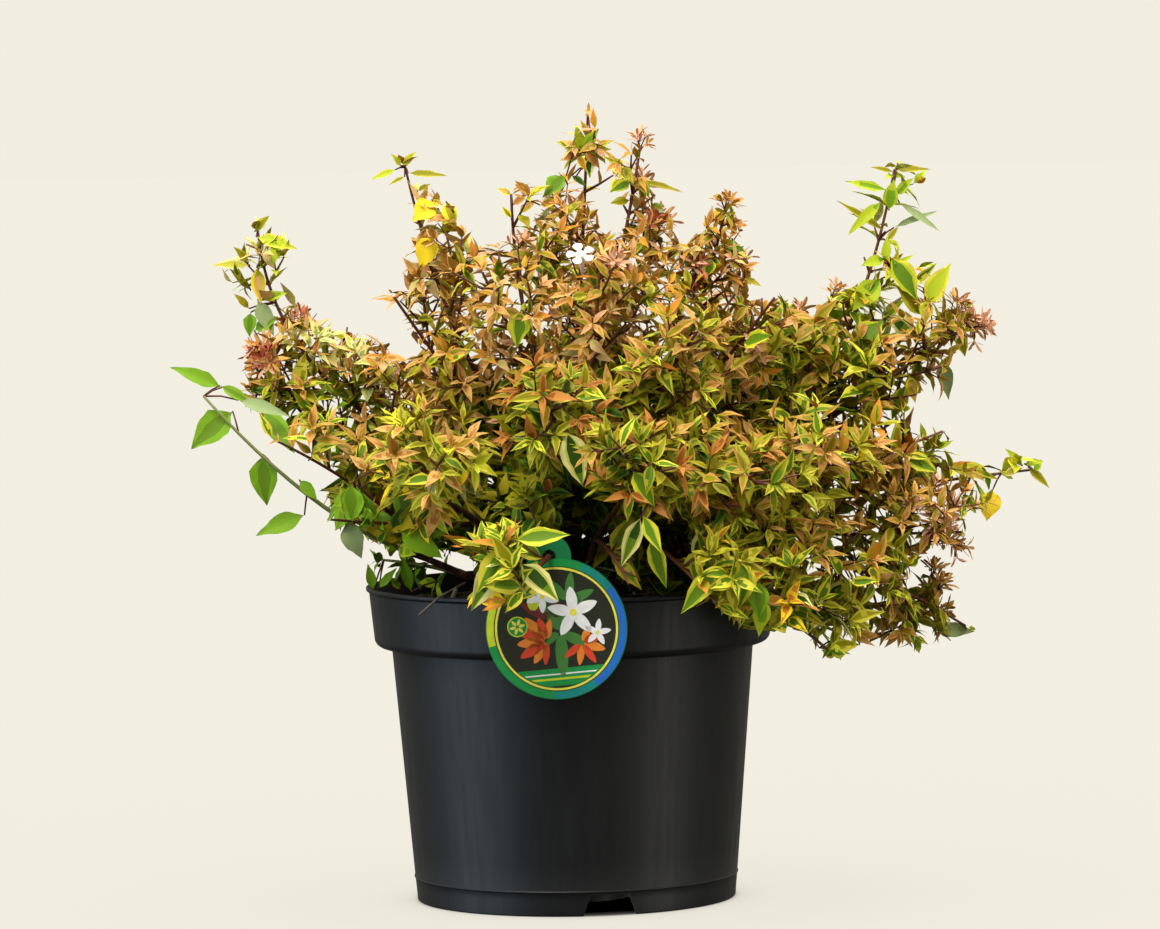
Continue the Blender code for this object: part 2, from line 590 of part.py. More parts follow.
class Mass:
    """The twigs and leaves of one mass while it grows in its own space."""

    def __init__(self, name, lines, obstacles):
        self.name = name
        self.lines = lines
        self.obstacles = obstacles
        self.rng = random.Random(f"{SEED} {name}")
        self.spread = MASSES[name][3] * MM
        self.controls = stem_controls(name)
        self.pieces = []
        self.leaves = []

    def leaf_fits(self, leaf):
        """True in this mass's space, clear of limbs and of the leaves already there."""
        root, heading, face, length = leaf
        middle = root + heading * length / 2
        tip = root + heading * length - face * LEAF_DROOP * length
        for point in (middle, tip):
            if not in_own_space(point, self.name, self.lines):
                return False
        if touches(leaf_bmesh(leaf, TEST_MARGIN), self.obstacles):
            return False
        start = root + heading * LEAF_ROOT_SHARE * length
        outer = (start, heading, face, (1.0 - LEAF_ROOT_SHARE) * length)
        return not touches(leaf_bmesh(outer), self.leaves)

    def try_leaf(self, root, along, turn, forward):
        """A leaf at root to one side of along; each new try leans on and is a little shorter."""
        for attempt in range(LEAF_TRIES):
            aside = across(along, turn + self.rng.uniform(-TRY_TURN, TRY_TURN) * attempt)
            lean = forward * self.rng.uniform(*LEAF_LEAN) + TRY_LEAN * attempt
            heading = leaning(along, aside, lean, self.rng)
            length = self.leaf_length() * (1.0 - TRY_SHRINK * attempt)
            leaf = make_leaf(root - heading * LEAF_SUNK, heading, length, self.rng)
            if self.leaf_fits(leaf):
                self.keep(leaf)
                return True
        return False

    def leaf_length(self):
        return LEAF_SHARE * self.spread * self.rng.uniform(*LEAF_SIZES)

    def try_tip_leaf(self, end, along, length):
        """The leaf that a twig or the stem ends in."""
        leaf = make_leaf(end - along * TIP_LEAF_SUNK, along, length, self.rng)
        if self.leaf_fits(leaf):
            self.keep(leaf)

    def keep(self, leaf):
        bm = leaf_bmesh(leaf)
        self.leaves.append(BVHTree.FromBMesh(bm))
        self.pieces.append(bm)

    def try_twig(self, start, along, turn):
        """A side twig with a leaf at its tip and one on its way."""
        aside = across(along, turn + self.rng.uniform(-TWIG_STRAY, TWIG_STRAY))
        heading = (along * self.rng.uniform(*TWIG_FORWARD) + aside + UP * TWIG_RISE).normalized()
        reach = TWIG_SHARE * self.spread * self.rng.uniform(*TWIG_SIZES)
        end = start + heading * reach
        test = twig_bmesh(start.lerp(end, TWIG_FREE_FROM), end, TEST_MARGIN)
        if touches(test, self.obstacles + self.leaves):
            return False
        if not in_own_space(end, self.name, self.lines):
            return False
        self.pieces.append(twig_bmesh(start, end))
        self.try_tip_leaf(end, heading, self.leaf_length())
        self.try_leaf(start.lerp(end, TWIG_LEAF_PLACE), heading, self.rng.uniform(0, 360), TWIG_LEAF_LEAN)
        return True

    def grow(self):
        """Pairs of a twig and a leaf along the stem, each pair a quarter turn on."""
        length = (self.controls[2] - self.controls[0]).length
        nodes = max(2, min(round(length / NODE_SPACING), NODE_LIMIT))
        turn = self.rng.uniform(0.0, 360.0)
        end, along = bezier(self.controls, 1.0)
        self.try_tip_leaf(end, along, TIP_LEAF_SHARE * LEAF_SHARE * self.spread)
        for flank in (0.0, 180.0):
            self.try_leaf(end - along * TIP_PAIR_DROP, along, turn + flank, TIP_PAIR_LEAN)
        for node in reversed(range(nodes)):
            start, along = bezier(self.controls, (node + NODE_PLACE) / nodes)
            turn += 90.0
            for flank, leads in ((0.0, True), (180.0, False)):
                if len(self.leaves) >= LEAF_LIMIT:
                    return
                grown = leads and self.try_twig(start, along, turn + flank)
                if not grown:
                    self.try_leaf(start, along, turn + flank, STEM_LEAF_LEAN)


def leaf_bmesh(leaf, extra=0.0):
    """A folded, drooping leaf of eight faces, made thicker by extra for tests."""
    root, direction, face, length = leaf
    half_width = LEAF_WIDTH * length / 2 + extra
    half_thick = LEAF_THICKNESS / 2 + extra
    bm = bmesh.new()
    bmesh.ops.create_uvsphere(bm, u_segments=4, v_segments=2, radius=1.0)
    for vertex in bm.verts:
        side, normal, along = vertex.co
        if along > 0.5:
            vertex.co = (0.0, -LEAF_DROOP * length, length + extra)
        elif along < -0.5:
            vertex.co = (0.0, 0.0, -extra)
        elif abs(side) > 0.5:
            vertex.co = (side * half_width, LEAF_FOLD * length, LEAF_WIDEST * length)
        else:
            vertex.co = (0.0, normal * half_thick, LEAF_THICKEST * length)
    frame = Matrix((face.cross(direction), face, direction)).transposed().to_4x4()
    frame.translation = root
    bm.transform(frame)
    return bm


def twig_bmesh(start, end, extra=0.0):
    """A straight three-sided twig that tapers."""
    axis = end - start
    bm = bmesh.new()
    bmesh.ops.create_cone(bm, cap_ends=True, segments=3, radius1=TWIG_RADIUS + extra,
                          radius2=TWIG_TIP_RADIUS + extra, depth=axis.length)
    frame = axis.to_track_quat("Z", "Y").to_matrix().to_4x4()
    frame.translation = (start + end) / 2
    bm.transform(frame)
    return bm


def stem_bmesh(name):
    """The mass's stem: a three-sided cone, cut across and bent along its curve.

    At its foot a corner points back along the bough, so a flat side lies next to the bough.
    """
    bm = bmesh.new()
    bmesh.ops.create_cone(bm, cap_ends=True, segments=3, radius1=STEM_RADIUS,
                          radius2=STEM_TIP_RADIUS, depth=1.0)
    for cut in range(1, STEM_CUTS + 1):
        level = cut / (STEM_CUTS + 1) - 0.5
        parts = list(bm.verts) + list(bm.edges) + list(bm.faces)
        bmesh.ops.bisect_plane(bm, geom=parts, plane_co=(0.0, 0.0, level), plane_no=UP)
    controls = stem_controls(name)
    back = stem_start(name)[2]
    for vertex in bm.verts:
        centre, along = bezier(controls, vertex.co.z + 0.5)
        corner = (back - along * back.dot(along)).normalized()
        vertex.co = centre + corner.cross(along) * vertex.co.x + corner * vertex.co.y
    return bm


def touches(bm, obstacles):
    """True where the shape's surface crosses one of the trees; the shape is then freed."""
    tree = BVHTree.FromBMesh(bm)
    bm.free()
    return any(tree.overlap(obstacle) for obstacle in obstacles)


def join_mass(name, stem, pieces, model, material):
    """One union of the stem with its twigs and leaves, applied."""
    group = new_collection(f"{name}_pieces")
    for number, bm in enumerate(pieces):
        add_object(f"{name}_piece_{number}", mesh_from(bm, "piece"), group)
    base = add_object(name, mesh_from(stem, name), model, material)
    join = base.modifiers.new("join", "BOOLEAN")
    join.operation = "UNION"
    join.operand_type = "COLLECTION"
    join.collection = group
    joined = evaluated_mesh(base)
    if not is_one_closed_body(joined):
        join.solver = "MANIFOLD"
        joined = evaluated_mesh(base)
    base.modifiers.remove(join)
    base.data = joined
    joined.materials.clear()
    joined.materials.append(material)
    for piece in list(group.objects):
        bpy.data.objects.remove(piece, do_unlink=True)
    bpy.data.collections.remove(group)
    return base


def is_one_closed_body(mesh):
    """Every edge has two faces, and all the faces hang together."""
    bm = bmesh.new()
    bm.from_mesh(mesh)
    bm.faces.ensure_lookup_table()
    closed = all(len(edge.link_faces) == 2 for edge in bm.edges)
    reached = set()
    waiting = [bm.faces[0]]
    while waiting:
        face = waiting.pop()
        if face not in reached:
            reached.add(face)
            waiting += [other for edge in face.edges for other in edge.link_faces]
    whole = closed and len(reached) == len(bm.faces)
    bm.free()
    return whole


def add_mass(name, lines, obstacles, model, material):
    mass = Mass(name, lines, obstacles)
    mass.grow()
    return join_mass(name, stem_bmesh(name), mass.pieces, model, material)


def main():
    clear_scene()
    model = new_collection("potted_kaleidoscope_glossy_abelia")
    cutters = new_collection("pot_cutters")
    paint = {name: make_material(name, colour, POT_ROUGHNESS if name == "pot" else PLANT_ROUGHNESS)
             for name, colour in COLOURS.items()}
    fixed = [
        add_pot(model, cutters, paint["pot"]),
        add_soil(model, paint["soil"]),
        add_label(model, paint["label"]),
        turned("root_crown", crown_profile(), CROWN_STEPS, model, paint["bark"]),
    ]
    fixed += [add_bough(name, model, paint["bark"]) for name in BOUGHS]
    obstacles = [surface_tree(thing) for thing in fixed]
    lines = {name: [bezier(stem_controls(name), k / 4)[0] for k in range(5)] for name in MASSES}
    for name in MASSES:
        mass = add_mass(name, lines, obstacles, model, paint[MASSES[name][4]])
        obstacles.append(surface_tree(mass))


main()
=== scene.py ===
"""The finished looks of the potted kaleidoscope glossy abelia, built round its fixed frame.

Metres, +Z up, -Y is the front.  The pot, the compost, the label, the bark and the foliage are
made here in full detail, in the places that the frame gives them.
"""

import json
import math
import random

import bmesh
import bpy
import numpy as np
from mathutils import Matrix, Vector, noise
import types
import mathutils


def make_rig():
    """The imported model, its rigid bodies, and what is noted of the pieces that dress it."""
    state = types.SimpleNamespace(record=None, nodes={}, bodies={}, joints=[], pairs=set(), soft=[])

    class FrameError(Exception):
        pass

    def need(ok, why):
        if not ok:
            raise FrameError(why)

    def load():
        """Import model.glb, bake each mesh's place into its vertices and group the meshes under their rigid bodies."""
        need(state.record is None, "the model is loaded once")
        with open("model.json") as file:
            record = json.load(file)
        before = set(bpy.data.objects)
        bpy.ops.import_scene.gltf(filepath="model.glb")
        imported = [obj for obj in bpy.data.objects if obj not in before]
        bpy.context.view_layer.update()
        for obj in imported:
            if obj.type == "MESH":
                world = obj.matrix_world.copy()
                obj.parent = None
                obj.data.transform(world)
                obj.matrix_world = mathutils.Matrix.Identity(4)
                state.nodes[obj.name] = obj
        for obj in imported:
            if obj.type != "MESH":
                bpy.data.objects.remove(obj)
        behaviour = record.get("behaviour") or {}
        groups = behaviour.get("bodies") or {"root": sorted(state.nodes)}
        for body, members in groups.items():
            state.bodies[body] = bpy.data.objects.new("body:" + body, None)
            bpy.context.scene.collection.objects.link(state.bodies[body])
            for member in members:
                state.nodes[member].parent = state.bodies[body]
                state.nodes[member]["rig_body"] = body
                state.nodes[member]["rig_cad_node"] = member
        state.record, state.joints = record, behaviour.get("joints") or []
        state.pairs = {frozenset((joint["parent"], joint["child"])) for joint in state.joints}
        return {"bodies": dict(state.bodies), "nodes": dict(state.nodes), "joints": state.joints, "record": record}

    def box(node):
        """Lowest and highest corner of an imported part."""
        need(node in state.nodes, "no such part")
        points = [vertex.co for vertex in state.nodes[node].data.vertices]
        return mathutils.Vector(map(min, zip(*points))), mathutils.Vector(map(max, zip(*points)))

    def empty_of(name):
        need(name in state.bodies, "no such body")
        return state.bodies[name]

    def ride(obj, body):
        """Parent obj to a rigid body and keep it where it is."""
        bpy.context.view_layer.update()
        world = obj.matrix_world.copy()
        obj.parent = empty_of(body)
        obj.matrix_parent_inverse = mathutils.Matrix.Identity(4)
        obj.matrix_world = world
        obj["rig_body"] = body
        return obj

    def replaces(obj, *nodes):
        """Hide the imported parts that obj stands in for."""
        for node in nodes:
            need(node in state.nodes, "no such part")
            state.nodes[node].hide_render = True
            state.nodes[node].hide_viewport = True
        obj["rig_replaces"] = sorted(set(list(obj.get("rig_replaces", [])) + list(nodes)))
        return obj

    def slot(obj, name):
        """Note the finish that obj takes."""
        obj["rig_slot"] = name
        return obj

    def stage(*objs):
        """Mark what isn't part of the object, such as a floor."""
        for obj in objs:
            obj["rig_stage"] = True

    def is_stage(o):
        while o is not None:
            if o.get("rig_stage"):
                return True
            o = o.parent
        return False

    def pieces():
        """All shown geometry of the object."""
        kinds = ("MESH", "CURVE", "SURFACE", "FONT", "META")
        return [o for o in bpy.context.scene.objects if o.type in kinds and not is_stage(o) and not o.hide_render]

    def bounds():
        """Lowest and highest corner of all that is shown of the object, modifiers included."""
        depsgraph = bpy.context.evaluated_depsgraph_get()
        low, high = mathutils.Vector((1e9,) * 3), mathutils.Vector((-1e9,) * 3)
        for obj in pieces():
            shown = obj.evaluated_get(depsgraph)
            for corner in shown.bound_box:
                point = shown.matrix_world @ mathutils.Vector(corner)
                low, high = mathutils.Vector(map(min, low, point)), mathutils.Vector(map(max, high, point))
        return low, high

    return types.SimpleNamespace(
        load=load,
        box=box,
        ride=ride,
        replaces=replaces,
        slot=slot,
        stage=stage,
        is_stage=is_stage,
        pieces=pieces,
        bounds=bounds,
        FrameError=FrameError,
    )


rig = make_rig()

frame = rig.load()
CAD_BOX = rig.bounds()

MM = 0.001
SEED = "glossy abelia"
UP = Vector((0.0, 0.0, 1.0))
GAP = 0.3 * MM                # between solids that touch


def word(text):
    """A word of a table, as a number where it is one."""
    for read in (int, float):
        try:
            return read(text)
        except ValueError:
            pass
    return text


def table(text):
    """The rows of a table, each as a list of its words and numbers."""
    return [[word(part) for part in line.split()] for line in text.strip().splitlines()]


# Pot, the same sizes as its solid
POT_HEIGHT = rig.box("pot")[1].z
LIP_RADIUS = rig.box("pot")[1].x
WALL = 1.5 * MM
LIP_HEIGHT = 1.6 * MM
LIP_ROUNDING = 0.7 * MM
COLLAR_TOP_RADIUS = 113.3 * MM
COLLAR_BOTTOM_RADIUS = 110.7 * MM
COLLAR_BOTTOM = 142.8 * MM
COLLAR_ROUNDING = 5.0 * MM
BODY_TOP_RADIUS = 101.1 * MM
FOOT_RADIUS = 89.2 * MM
FOOT_RING_WIDTH = 3.0 * MM
FOOT_ROUNDING = 1.0 * MM
RIDGE_HEIGHT = 13.5 * MM
RIDGE_SIZE = 0.5 * MM
STEP_ROUNDING = 1.5 * MM
FLOOR_LIFT = 12.0 * MM
CENTRE_FOOT_RADIUS = 30.0 * MM
NOTCH_COUNT = 3
NOTCH_TURN = -78.0
NOTCH_BOTTOM_WIDTH = 30.0 * MM
NOTCH_TOP_WIDTH = 21.0 * MM
NOTCH_HEIGHT = 11.7 * MM
NOTCH_DEPTH = 24.0 * MM
DRAIN_COUNT = 6
DRAIN_RADIUS = 4.5 * MM
DRAIN_CIRCLE = 58.0 * MM
POT_STEPS = 192
POT_SHARP = math.radians(32)

SOIL_LEVEL = 163.5 * MM
SOIL_MESH = (44, 150)         # rings and points round each
CRUMBS = 900

# Label, the same sizes as its solid
LABEL_RADIUS = 38.5 * MM
LABEL_HEAD_RADIUS = 12.0 * MM
LABEL_HOLE_RADIUS = 3.6 * MM
LABEL_HEAD_RISE = 39.5 * MM
LABEL_THICKNESS = 0.9 * MM
LABEL_CENTRE_X = -8.3 * MM
LABEL_CENTRE_Z = 160.7 * MM
LABEL_LEAN = 4.9

# Root crown, boughs and stems, by the same rule as the solids
CROWN_RADIUS = 15.0 * MM
CROWN_HEIGHT = 37.0 * MM
CROWN_MESH = (40, 64)         # rings and points round each
BOUGH_LEAD = 0.35             # length of a bough's two leads as a share of its span
BOUGH_ROOT_GAP = 0.45 * MM
BOUGH_POINTS = 7
FACET_SHARE = 0.9             # a facet's distance from the middle as a share of the radius
LABEL_BOUGH = "front_left_bough"
LABEL_BOUGH_PAST = 11.0 * MM  # how far that bough goes past the label's hole
STEM_RADIUS = 1.7 * MM
STEM_LEAD = 0.38              # length of a stem's lead as a share of its span
LONG_LEADS = {"left_tall": 0.58}
STEM_BOW = 0.14               # how much a side stem turns up at its foot
FORK_ANGLE = math.radians(36)     # least angle between a side stem and its bough
SPACE_SHARE = 1.15            # how far past the middle between two stems a mass may reach

# Bough: tip (right, back, up) in mm, radius at foot and tip in mm,
# where it leaves the root crown (turn and lift in degrees), how upright its end is
BOUGHS = {f"{name}_bough": ((x, y, z), (foot, end), (turn, lift), rise)
          for name, x, y, z, foot, end, turn, lift, rise in table("""
left -98 -6 262 3.2 2.1 176 30 0.45
upper_left -46 4 284 3.0 2.1 160 58 1.3
runner -92 -52 200 2.6 1.9 -158 10 0.35
left_low -66 -68 226 2.8 2.0 -136 36 0.45
top 4 12 296 3.2 2.1 90 84 3.0
crest 54 -4 284 3.0 2.1 18 62 1.5
tall_right 116 6 258 3.2 2.1 6 30 0.8
right 112 -30 222 3.0 2.0 -20 10 0.3
low_right 88 -66 202 2.6 1.9 -44 24 0.05
front_right 48 -76 226 2.8 2.0 -62 46 0.6
front 20 -82 216 2.6 1.9 -82 14 0.3
front_left -13 -128 200 2.4 1.6 -108 30 0.0
centre 8 -42 262 3.0 2.1 -92 62 1.6
back_left -56 74 236 3.0 2.1 132 26 0.7
back 6 88 240 3.0 2.1 92 34 0.8
back_right 68 70 234 3.0 2.1 48 26 0.7
""")}

# Mass: bough, place along it (1 is its tip), tip (right, back, up) in mm,
# how far its side shoots reach in mm, tint
MASSES = {name: (f"{bough}_bough", place, (x, y, z), spread, tint)
          for name, bough, place, x, y, z, spread, tint in table("""
left_tall left 1.0 -172 2 382 38 green
left_rose left 0.78 -181 -26 312 40 rose
left_head left 0.56 -147 22 328 38 bronze
upper_left upper_left 1.0 -90 2 416 38 lime
left_middle upper_left 0.68 -98 -44 344 40 bronze
green_runner runner 1.0 -216 -62 306 36 green
left_wing runner 0.76 -166 -74 266 42 olive
left_low left_low 0.72 -136 -106 222 44 green
rim_sprout runner 0.5 -110 -20 193 24 green
left_front left_low 1.0 -74 -136 266 46 olive
top_spire top 1.0 14 0 446 40 bronze
top_head top 0.82 43 -14 424 40 bronze
top_left top 0.62 -30 -4 400 44 olive
crest crest 1.0 91 -10 393 42 bronze
shoulder crest 0.72 118 -46 340 42 bronze
tall_right tall_right 1.0 185 0 410 38 lime
right_rose tall_right 0.8 231 -16 328 42 rose
right_inner tall_right 0.58 153 44 335 42 bronze
right_wing right 1.0 212 -40 262 44 olive
far_right right 0.84 265 0 236 38 gold
right_calyx right 0.7 221 -66 206 42 rose
right_front right 0.54 160 -108 258 46 olive
low_right low_right 1.0 222 -36 149 44 olive
low_right_front low_right 0.72 142 -118 144 46 lime
front_right front_right 0.64 80 -160 174 46 lime
front_right_middle front_right 1.0 112 -150 238 46 olive
front_centre front 0.72 32 -160 186 44 lime
front_middle front 1.0 46 -158 254 46 olive
front_left front_left 1.0 -38 -172 178 42 lime
front_centre_high centre 0.6 -14 -142 290 46 olive
centre_left_high centre 0.78 -48 -72 358 44 bronze
centre_high centre 1.0 20 -72 366 44 bronze
centre_right_high centre 0.7 74 -100 324 46 olive
back_left_high back_left 1.0 -84 100 352 48 bronze
back_left_low back_left 0.72 -134 140 226 48 green
back_high back 1.0 8 104 370 50 bronze
back_low back 0.72 4 184 226 50 olive
back_right_high back_right 1.0 102 88 354 48 bronze
back_right_low back_right 0.72 140 142 214 50 olive
""")}

# Foliage.  Colours are 0 to 255 as a screen shows them
PAINT = {name: colour for name, *colour in table("""
copper 173 114 45
copper_soft 188 140 68
copper_deep 132 76 16
tan 203 158 86
orange 204 131 42
blush 208 154 112
olive 134 128 12
olive_brown 150 118 16
olive_soft 158 144 22
olive_deep 80 86 8
gold 238 206 38
yellow 206 196 54
yellow_soft 178 170 48
cream 220 211 128
green 92 124 20
green_deep 44 74 12
green_fresh 112 152 24
lime 170 184 34
grey_green 142 158 104
rose 190 108 72
rose_deep 150 66 46
rose_pale 222 170 136
rose_soft 200 146 100
lime_pale 186 184 92
tan_pale 208 172 112
sage 146 156 90
white 236 234 232
""")}

# Kind of leaf: middle, middle towards the tip, margin, share of the margin's colour inside
LEAF_KINDS = {name: kind for name, *kind in table("""
copper olive_brown copper copper_soft 0.2
copper_plain copper copper copper_soft 0.1
copper_deep copper_deep copper copper 0.1
tan copper copper_soft tan 0.25
blush copper_soft tan blush 0.3
orange olive_soft orange orange 0.3
orange_gold orange orange gold 0.25
olive olive olive_soft olive_soft 0.2
olive_copper olive olive_brown copper_soft 0.15
olive_deep olive_deep olive olive 0.1
olive_yellow olive olive yellow_soft 0.15
green_soft green olive yellow_soft 0.15
green_yellow green green yellow 0.15
green_gold green olive gold 0.2
green_cream green_deep green cream 0.1
green green green green_fresh 0.15
green_plain green_fresh green_fresh green_fresh 0.0
green_deep green_deep green_deep green 0.1
green_under grey_green grey_green grey_green 0.0
lime lime lime yellow 0.25
lime_green green_fresh lime lime 0.2
gold gold gold gold 0.0
tan_gold olive_soft tan gold 0.0
yellow_plain yellow_soft yellow_soft cream 0.0
wide_gold green green yellow 0.0
wide_cream green_deep green cream 0.0
rose rose rose rose 0.0
rose_deep rose_deep rose_deep rose_deep 0.0
rose_pale rose_pale rose_pale rose_pale 0.0
rose_soft rose_soft rose_soft rose_pale 0.0
pale_lime sage lime_pale cream 0.2
pale_green sage sage lime_pale 0.1
pale_tan lime_pale tan_pale tan_pale 0.25
flower_white white white white 0.0
flower_rose_pale rose_pale white rose_pale 0.0
""")}

# Shares of the kinds for each palette, in a row each for the foot, the middle and the tip of its
# shoots
# The inner palette, of shoots inside the crown, is dark green: partly the leaves' own colour, partly painted shade for
# the dark inside of the crown.
TINTS = {}
for palette, *shares in table("""
bronze olive 3 olive_yellow 3 olive_copper 2 green_soft 3 olive_deep 1 green_yellow 2
bronze olive 3 olive_yellow 4 olive_copper 4 copper 3 green_soft 2 orange 1 tan 2
bronze copper 3 tan 4 orange 2 copper_plain 2 olive_copper 3 blush 2
olive green_soft 3 olive_deep 2 green_deep 2 green_yellow 3 olive_yellow 2
olive olive_yellow 4 green_soft 4 green_yellow 4 olive 3 green_gold 1 olive_copper 3 tan 1 copper 1
olive olive_copper 3 olive_yellow 4 copper 2 orange 1 tan 2 green_yellow 2
green green 4 green_deep 4 green_plain 1 green_under 1
green green 5 green_plain 2 green_deep 2 green_soft 2 olive 1
green lime_green 2 green 3 olive 2 green_soft 2
lime green_yellow 4 green_deep 2 green_cream 2 green_soft 2
lime green_yellow 6 olive_yellow 2 green_cream 3 green_gold 1 green_soft 2
lime orange_gold 1 olive_yellow 3 green_yellow 4 copper 1 orange 1
rose olive 3 green_soft 3 olive_yellow 2 olive_deep 2
rose olive 3 olive_copper 3 olive_yellow 2 copper 2 green_soft 2
rose tan 2 copper 3 olive_copper 3 olive_yellow 1
gold olive 2 green_soft 2 lime_green 2
gold lime_green 3 green_yellow 2 lime 2 olive_yellow 1
gold lime 3 olive_yellow 2 lime_green 2
inner green_deep 5 olive_deep 3 green 1
inner green_deep 4 olive_deep 4 green_soft 1
inner olive_deep 3 green_deep 3 olive 1
runner green 3 green_plain 2 green_deep 1
runner green 3 green_plain 3
runner green_plain 3 lime_green 1
deep green_deep 4 olive_deep 4 green_soft 2
deep olive_deep 4 green_soft 4 green_yellow 2 olive 3 olive_yellow 2 green_deep 3 olive_copper 1
deep olive_copper 2 olive_yellow 2 copper_deep 3 olive_deep 2 green_yellow 1 green_soft 3
tawny olive_yellow 3 tan 2 olive_copper 2 green_yellow 2 green_soft 1
tawny tan 2 copper 2 olive_yellow 4 pale_tan 2 blush 1 orange 1 olive_copper 2 green_yellow 2
tawny tan 4 blush 3 orange 2 copper 2 pale_tan 2
pale green_yellow 2 pale_green 3 green 1 olive_yellow 2
pale pale_lime 4 pale_green 3 green_yellow 2 lime_green 1 pale_tan 1
pale pale_tan 3 pale_lime 4 olive_yellow 1
amber olive_yellow 3 tan 2 green_yellow 2 pale_tan 1
amber tan 3 pale_tan 2 orange_gold 1 pale_lime 2 olive_yellow 2 copper 1
amber pale_tan 2 tan 3 pale_lime 2
golden green_yellow 3 green_soft 2 olive_yellow 2
golden green_gold 2 green_yellow 4 olive_yellow 4 lime 2 pale_lime 1 olive_copper 1
golden copper 1 tan 2 olive_copper 2 olive_yellow 3 lime 1 green_gold 1
lush green_deep 3 green 2 green_yellow 3
lush green_yellow 4 green 3 green_deep 3 green_soft 3 olive 1
lush green_soft 3 green_yellow 3 olive_yellow 2 olive_copper 2
sprout green 2 green_plain 3
sprout green_plain 3 green 1
sprout green_plain 3 lime_green 1
fresh green_yellow 4 green 1 green_gold 1 olive_yellow 2
fresh green_yellow 3 lime_green 4 lime 3 pale_lime 2 green_cream 1
fresh green_soft 1 lime_green 4 pale_lime 2 lime 3 orange_gold 1
"""):
    TINTS.setdefault(palette, []).append(dict(zip(shares[::2], shares[1::2])))

# Palettes of single masses, where not that of their tint
PALETTES = {"green_runner": "runner", "tall_right": "fresh", "upper_left": "amber",
            "left_tall": "pale", "left_front": "golden", "rim_sprout": "sprout",
            "right_inner": "lush"}
# The top masses take the pale tawny palette: partly their own salmon and tan colour, partly painted light that lifts
# their shaded leaves.
PALETTES.update(dict.fromkeys(("top_spire", "top_head", "crest", "centre_high",
                               "centre_left_high"), "tawny"))
# The middle of the front takes the dark deep palette: partly its leaves' own darker green, partly painted shade.
PALETTES.update(dict.fromkeys(("front_middle", "front_centre_high", "front_right_middle"), "deep"))

# Leaf length at the foot and tip of a shoot in mm, and its width as a share of its length
LEAF_SIZES = {palette: sizes for palette, *sizes in table("""
bronze 22 15 0.34
olive 26 19 0.33
green 28 22 0.44
lime 29 23 0.39
rose 21 14 0.34
gold 26 21 0.42
inner 26 22 0.42
runner 28 24 0.5
fresh 27 21 0.31
lush 31 25 0.42
sprout 17 13 0.48
pale 25 18 0.34
tawny 21 14 0.35
deep 25 19 0.33
amber 26 20 0.36
golden 26 19 0.36
""")}
# Masses with short side shoots
SLENDER = ("left_tall", "upper_left", "green_runner", "tall_right", "far_right", "rim_sprout")

# Gap between pairs of leaves on the main stem in mm, where not the usual one
STEM_GAPS = {"green_runner": 25.0, "left_tall": 11.0, "upper_left": 13.0, "tall_right": 17.0,
             "far_right": 15.0, "rim_sprout": 12.0, "top_spire": 13.0, "top_left": 15.0}
USUAL_STEM_GAP = 10.5

# Share of a mass's side shoots that it keeps, where that is not all
FULLNESS = {"top_spire": 0.45, "top_head": 0.8, "top_left": 0.5, "left_low": 0.25, "crest": 0.75,
            "left_wing": 0.7, "left_rose": 0.8, "green_runner": 0.0, "upper_left": 0.5,
            "left_tall": 0.7}

# Masses that grow calyxes near their tips, and how many of those shoots have them
CALYX_SHARES = {"left_rose": 1.0, "right_rose": 1.0, "right_calyx": 0.4, "top_head": 0.4,
                "top_spire": 0.0, "crest": 0.0, "centre_high": 0.3, "left_head": 0.35,
                "shoulder": 0.2, "right_inner": 0.4, "back_high": 0.3, "back_left_high": 0.3,
                "back_right_high": 0.3}
DEEP_HEADS = ("left_rose", "left_head")       # masses whose calyxes are deep rose
CALYX_REACH = 34.0 * MM       # how far from the tip of its mass a shoot may have calyxes
# Kinds that the sepals of a head are dealt from
HEAD_KINDS = {"rose": ("rose_pale", "rose_soft", "rose_soft", "blush", "tan"),
              "deep": ("rose", "rose", "rose_deep", "rose_soft", "copper_plain"),
              "brown": ("copper_deep", "olive_copper", "tan", "olive")}

# Twigs and tubes of flowers, in the order of their paint numbers
TWIG_COLOURS = {"twig_red": (84, 34, 22), "twig_brown": (112, 64, 36), "twig_green": (112, 118, 58),
                "flower_tube": (246, 236, 232), "twig_dry": (88, 78, 66)}
RED, BROWN, GREEN, PALE, DRY = range(5)

# Pieces that leaves are joined into, and how far back in mm a tint's second piece starts
PIECES = ("bronze", "bronze_back", "olive", "olive_back", "green", "lime", "rose", "gold", "inner")
BACK_FROM = {"bronze": 10, "olive": -50}

# By the order of a shoot, from the main stem on: gap between its pairs of leaves, share of a
# leaf's usual length
LEAF_GAPS = (11.0, 9.0, 7.0)
LEAF_SHARES = (1.0, 0.92, 0.8)
FORK_SHARE = 0.5              # share of the leaves on a side shoot that a finer shoot stands by
ROOM = 3.7 * MM               # least distance between the middles of two leaves
LEAF_TRIES = 4
LEAF_SHRINK = 0.09            # how much shorter a leaf is at each further try
LEAF_CLEARANCE = 1.0 * MM     # between a leaf and anything solid
TWIG_CLEARANCE = 0.8 * MM
LEAF_SHARP = math.radians(28)
LEAF_SURFACE = (0.55, 0.12)   # roughness and specular level
TWIG_SURFACE = (0.5, 0.4)
MIDDLE_SPAN = (0.34, 0.76)    # least and greatest share of a leaf's width that its middle takes
RIPPLE = 0.05                 # height of a margin's ripple as a share of the leaf's width
DEPTH_REACH = 14 * MM         # how far in front of or behind its twig a placed tip may be
OPEN_BOUGHS = ("left_low_bough", "runner_bough", "left_bough")    # leafless inside, but at the foot

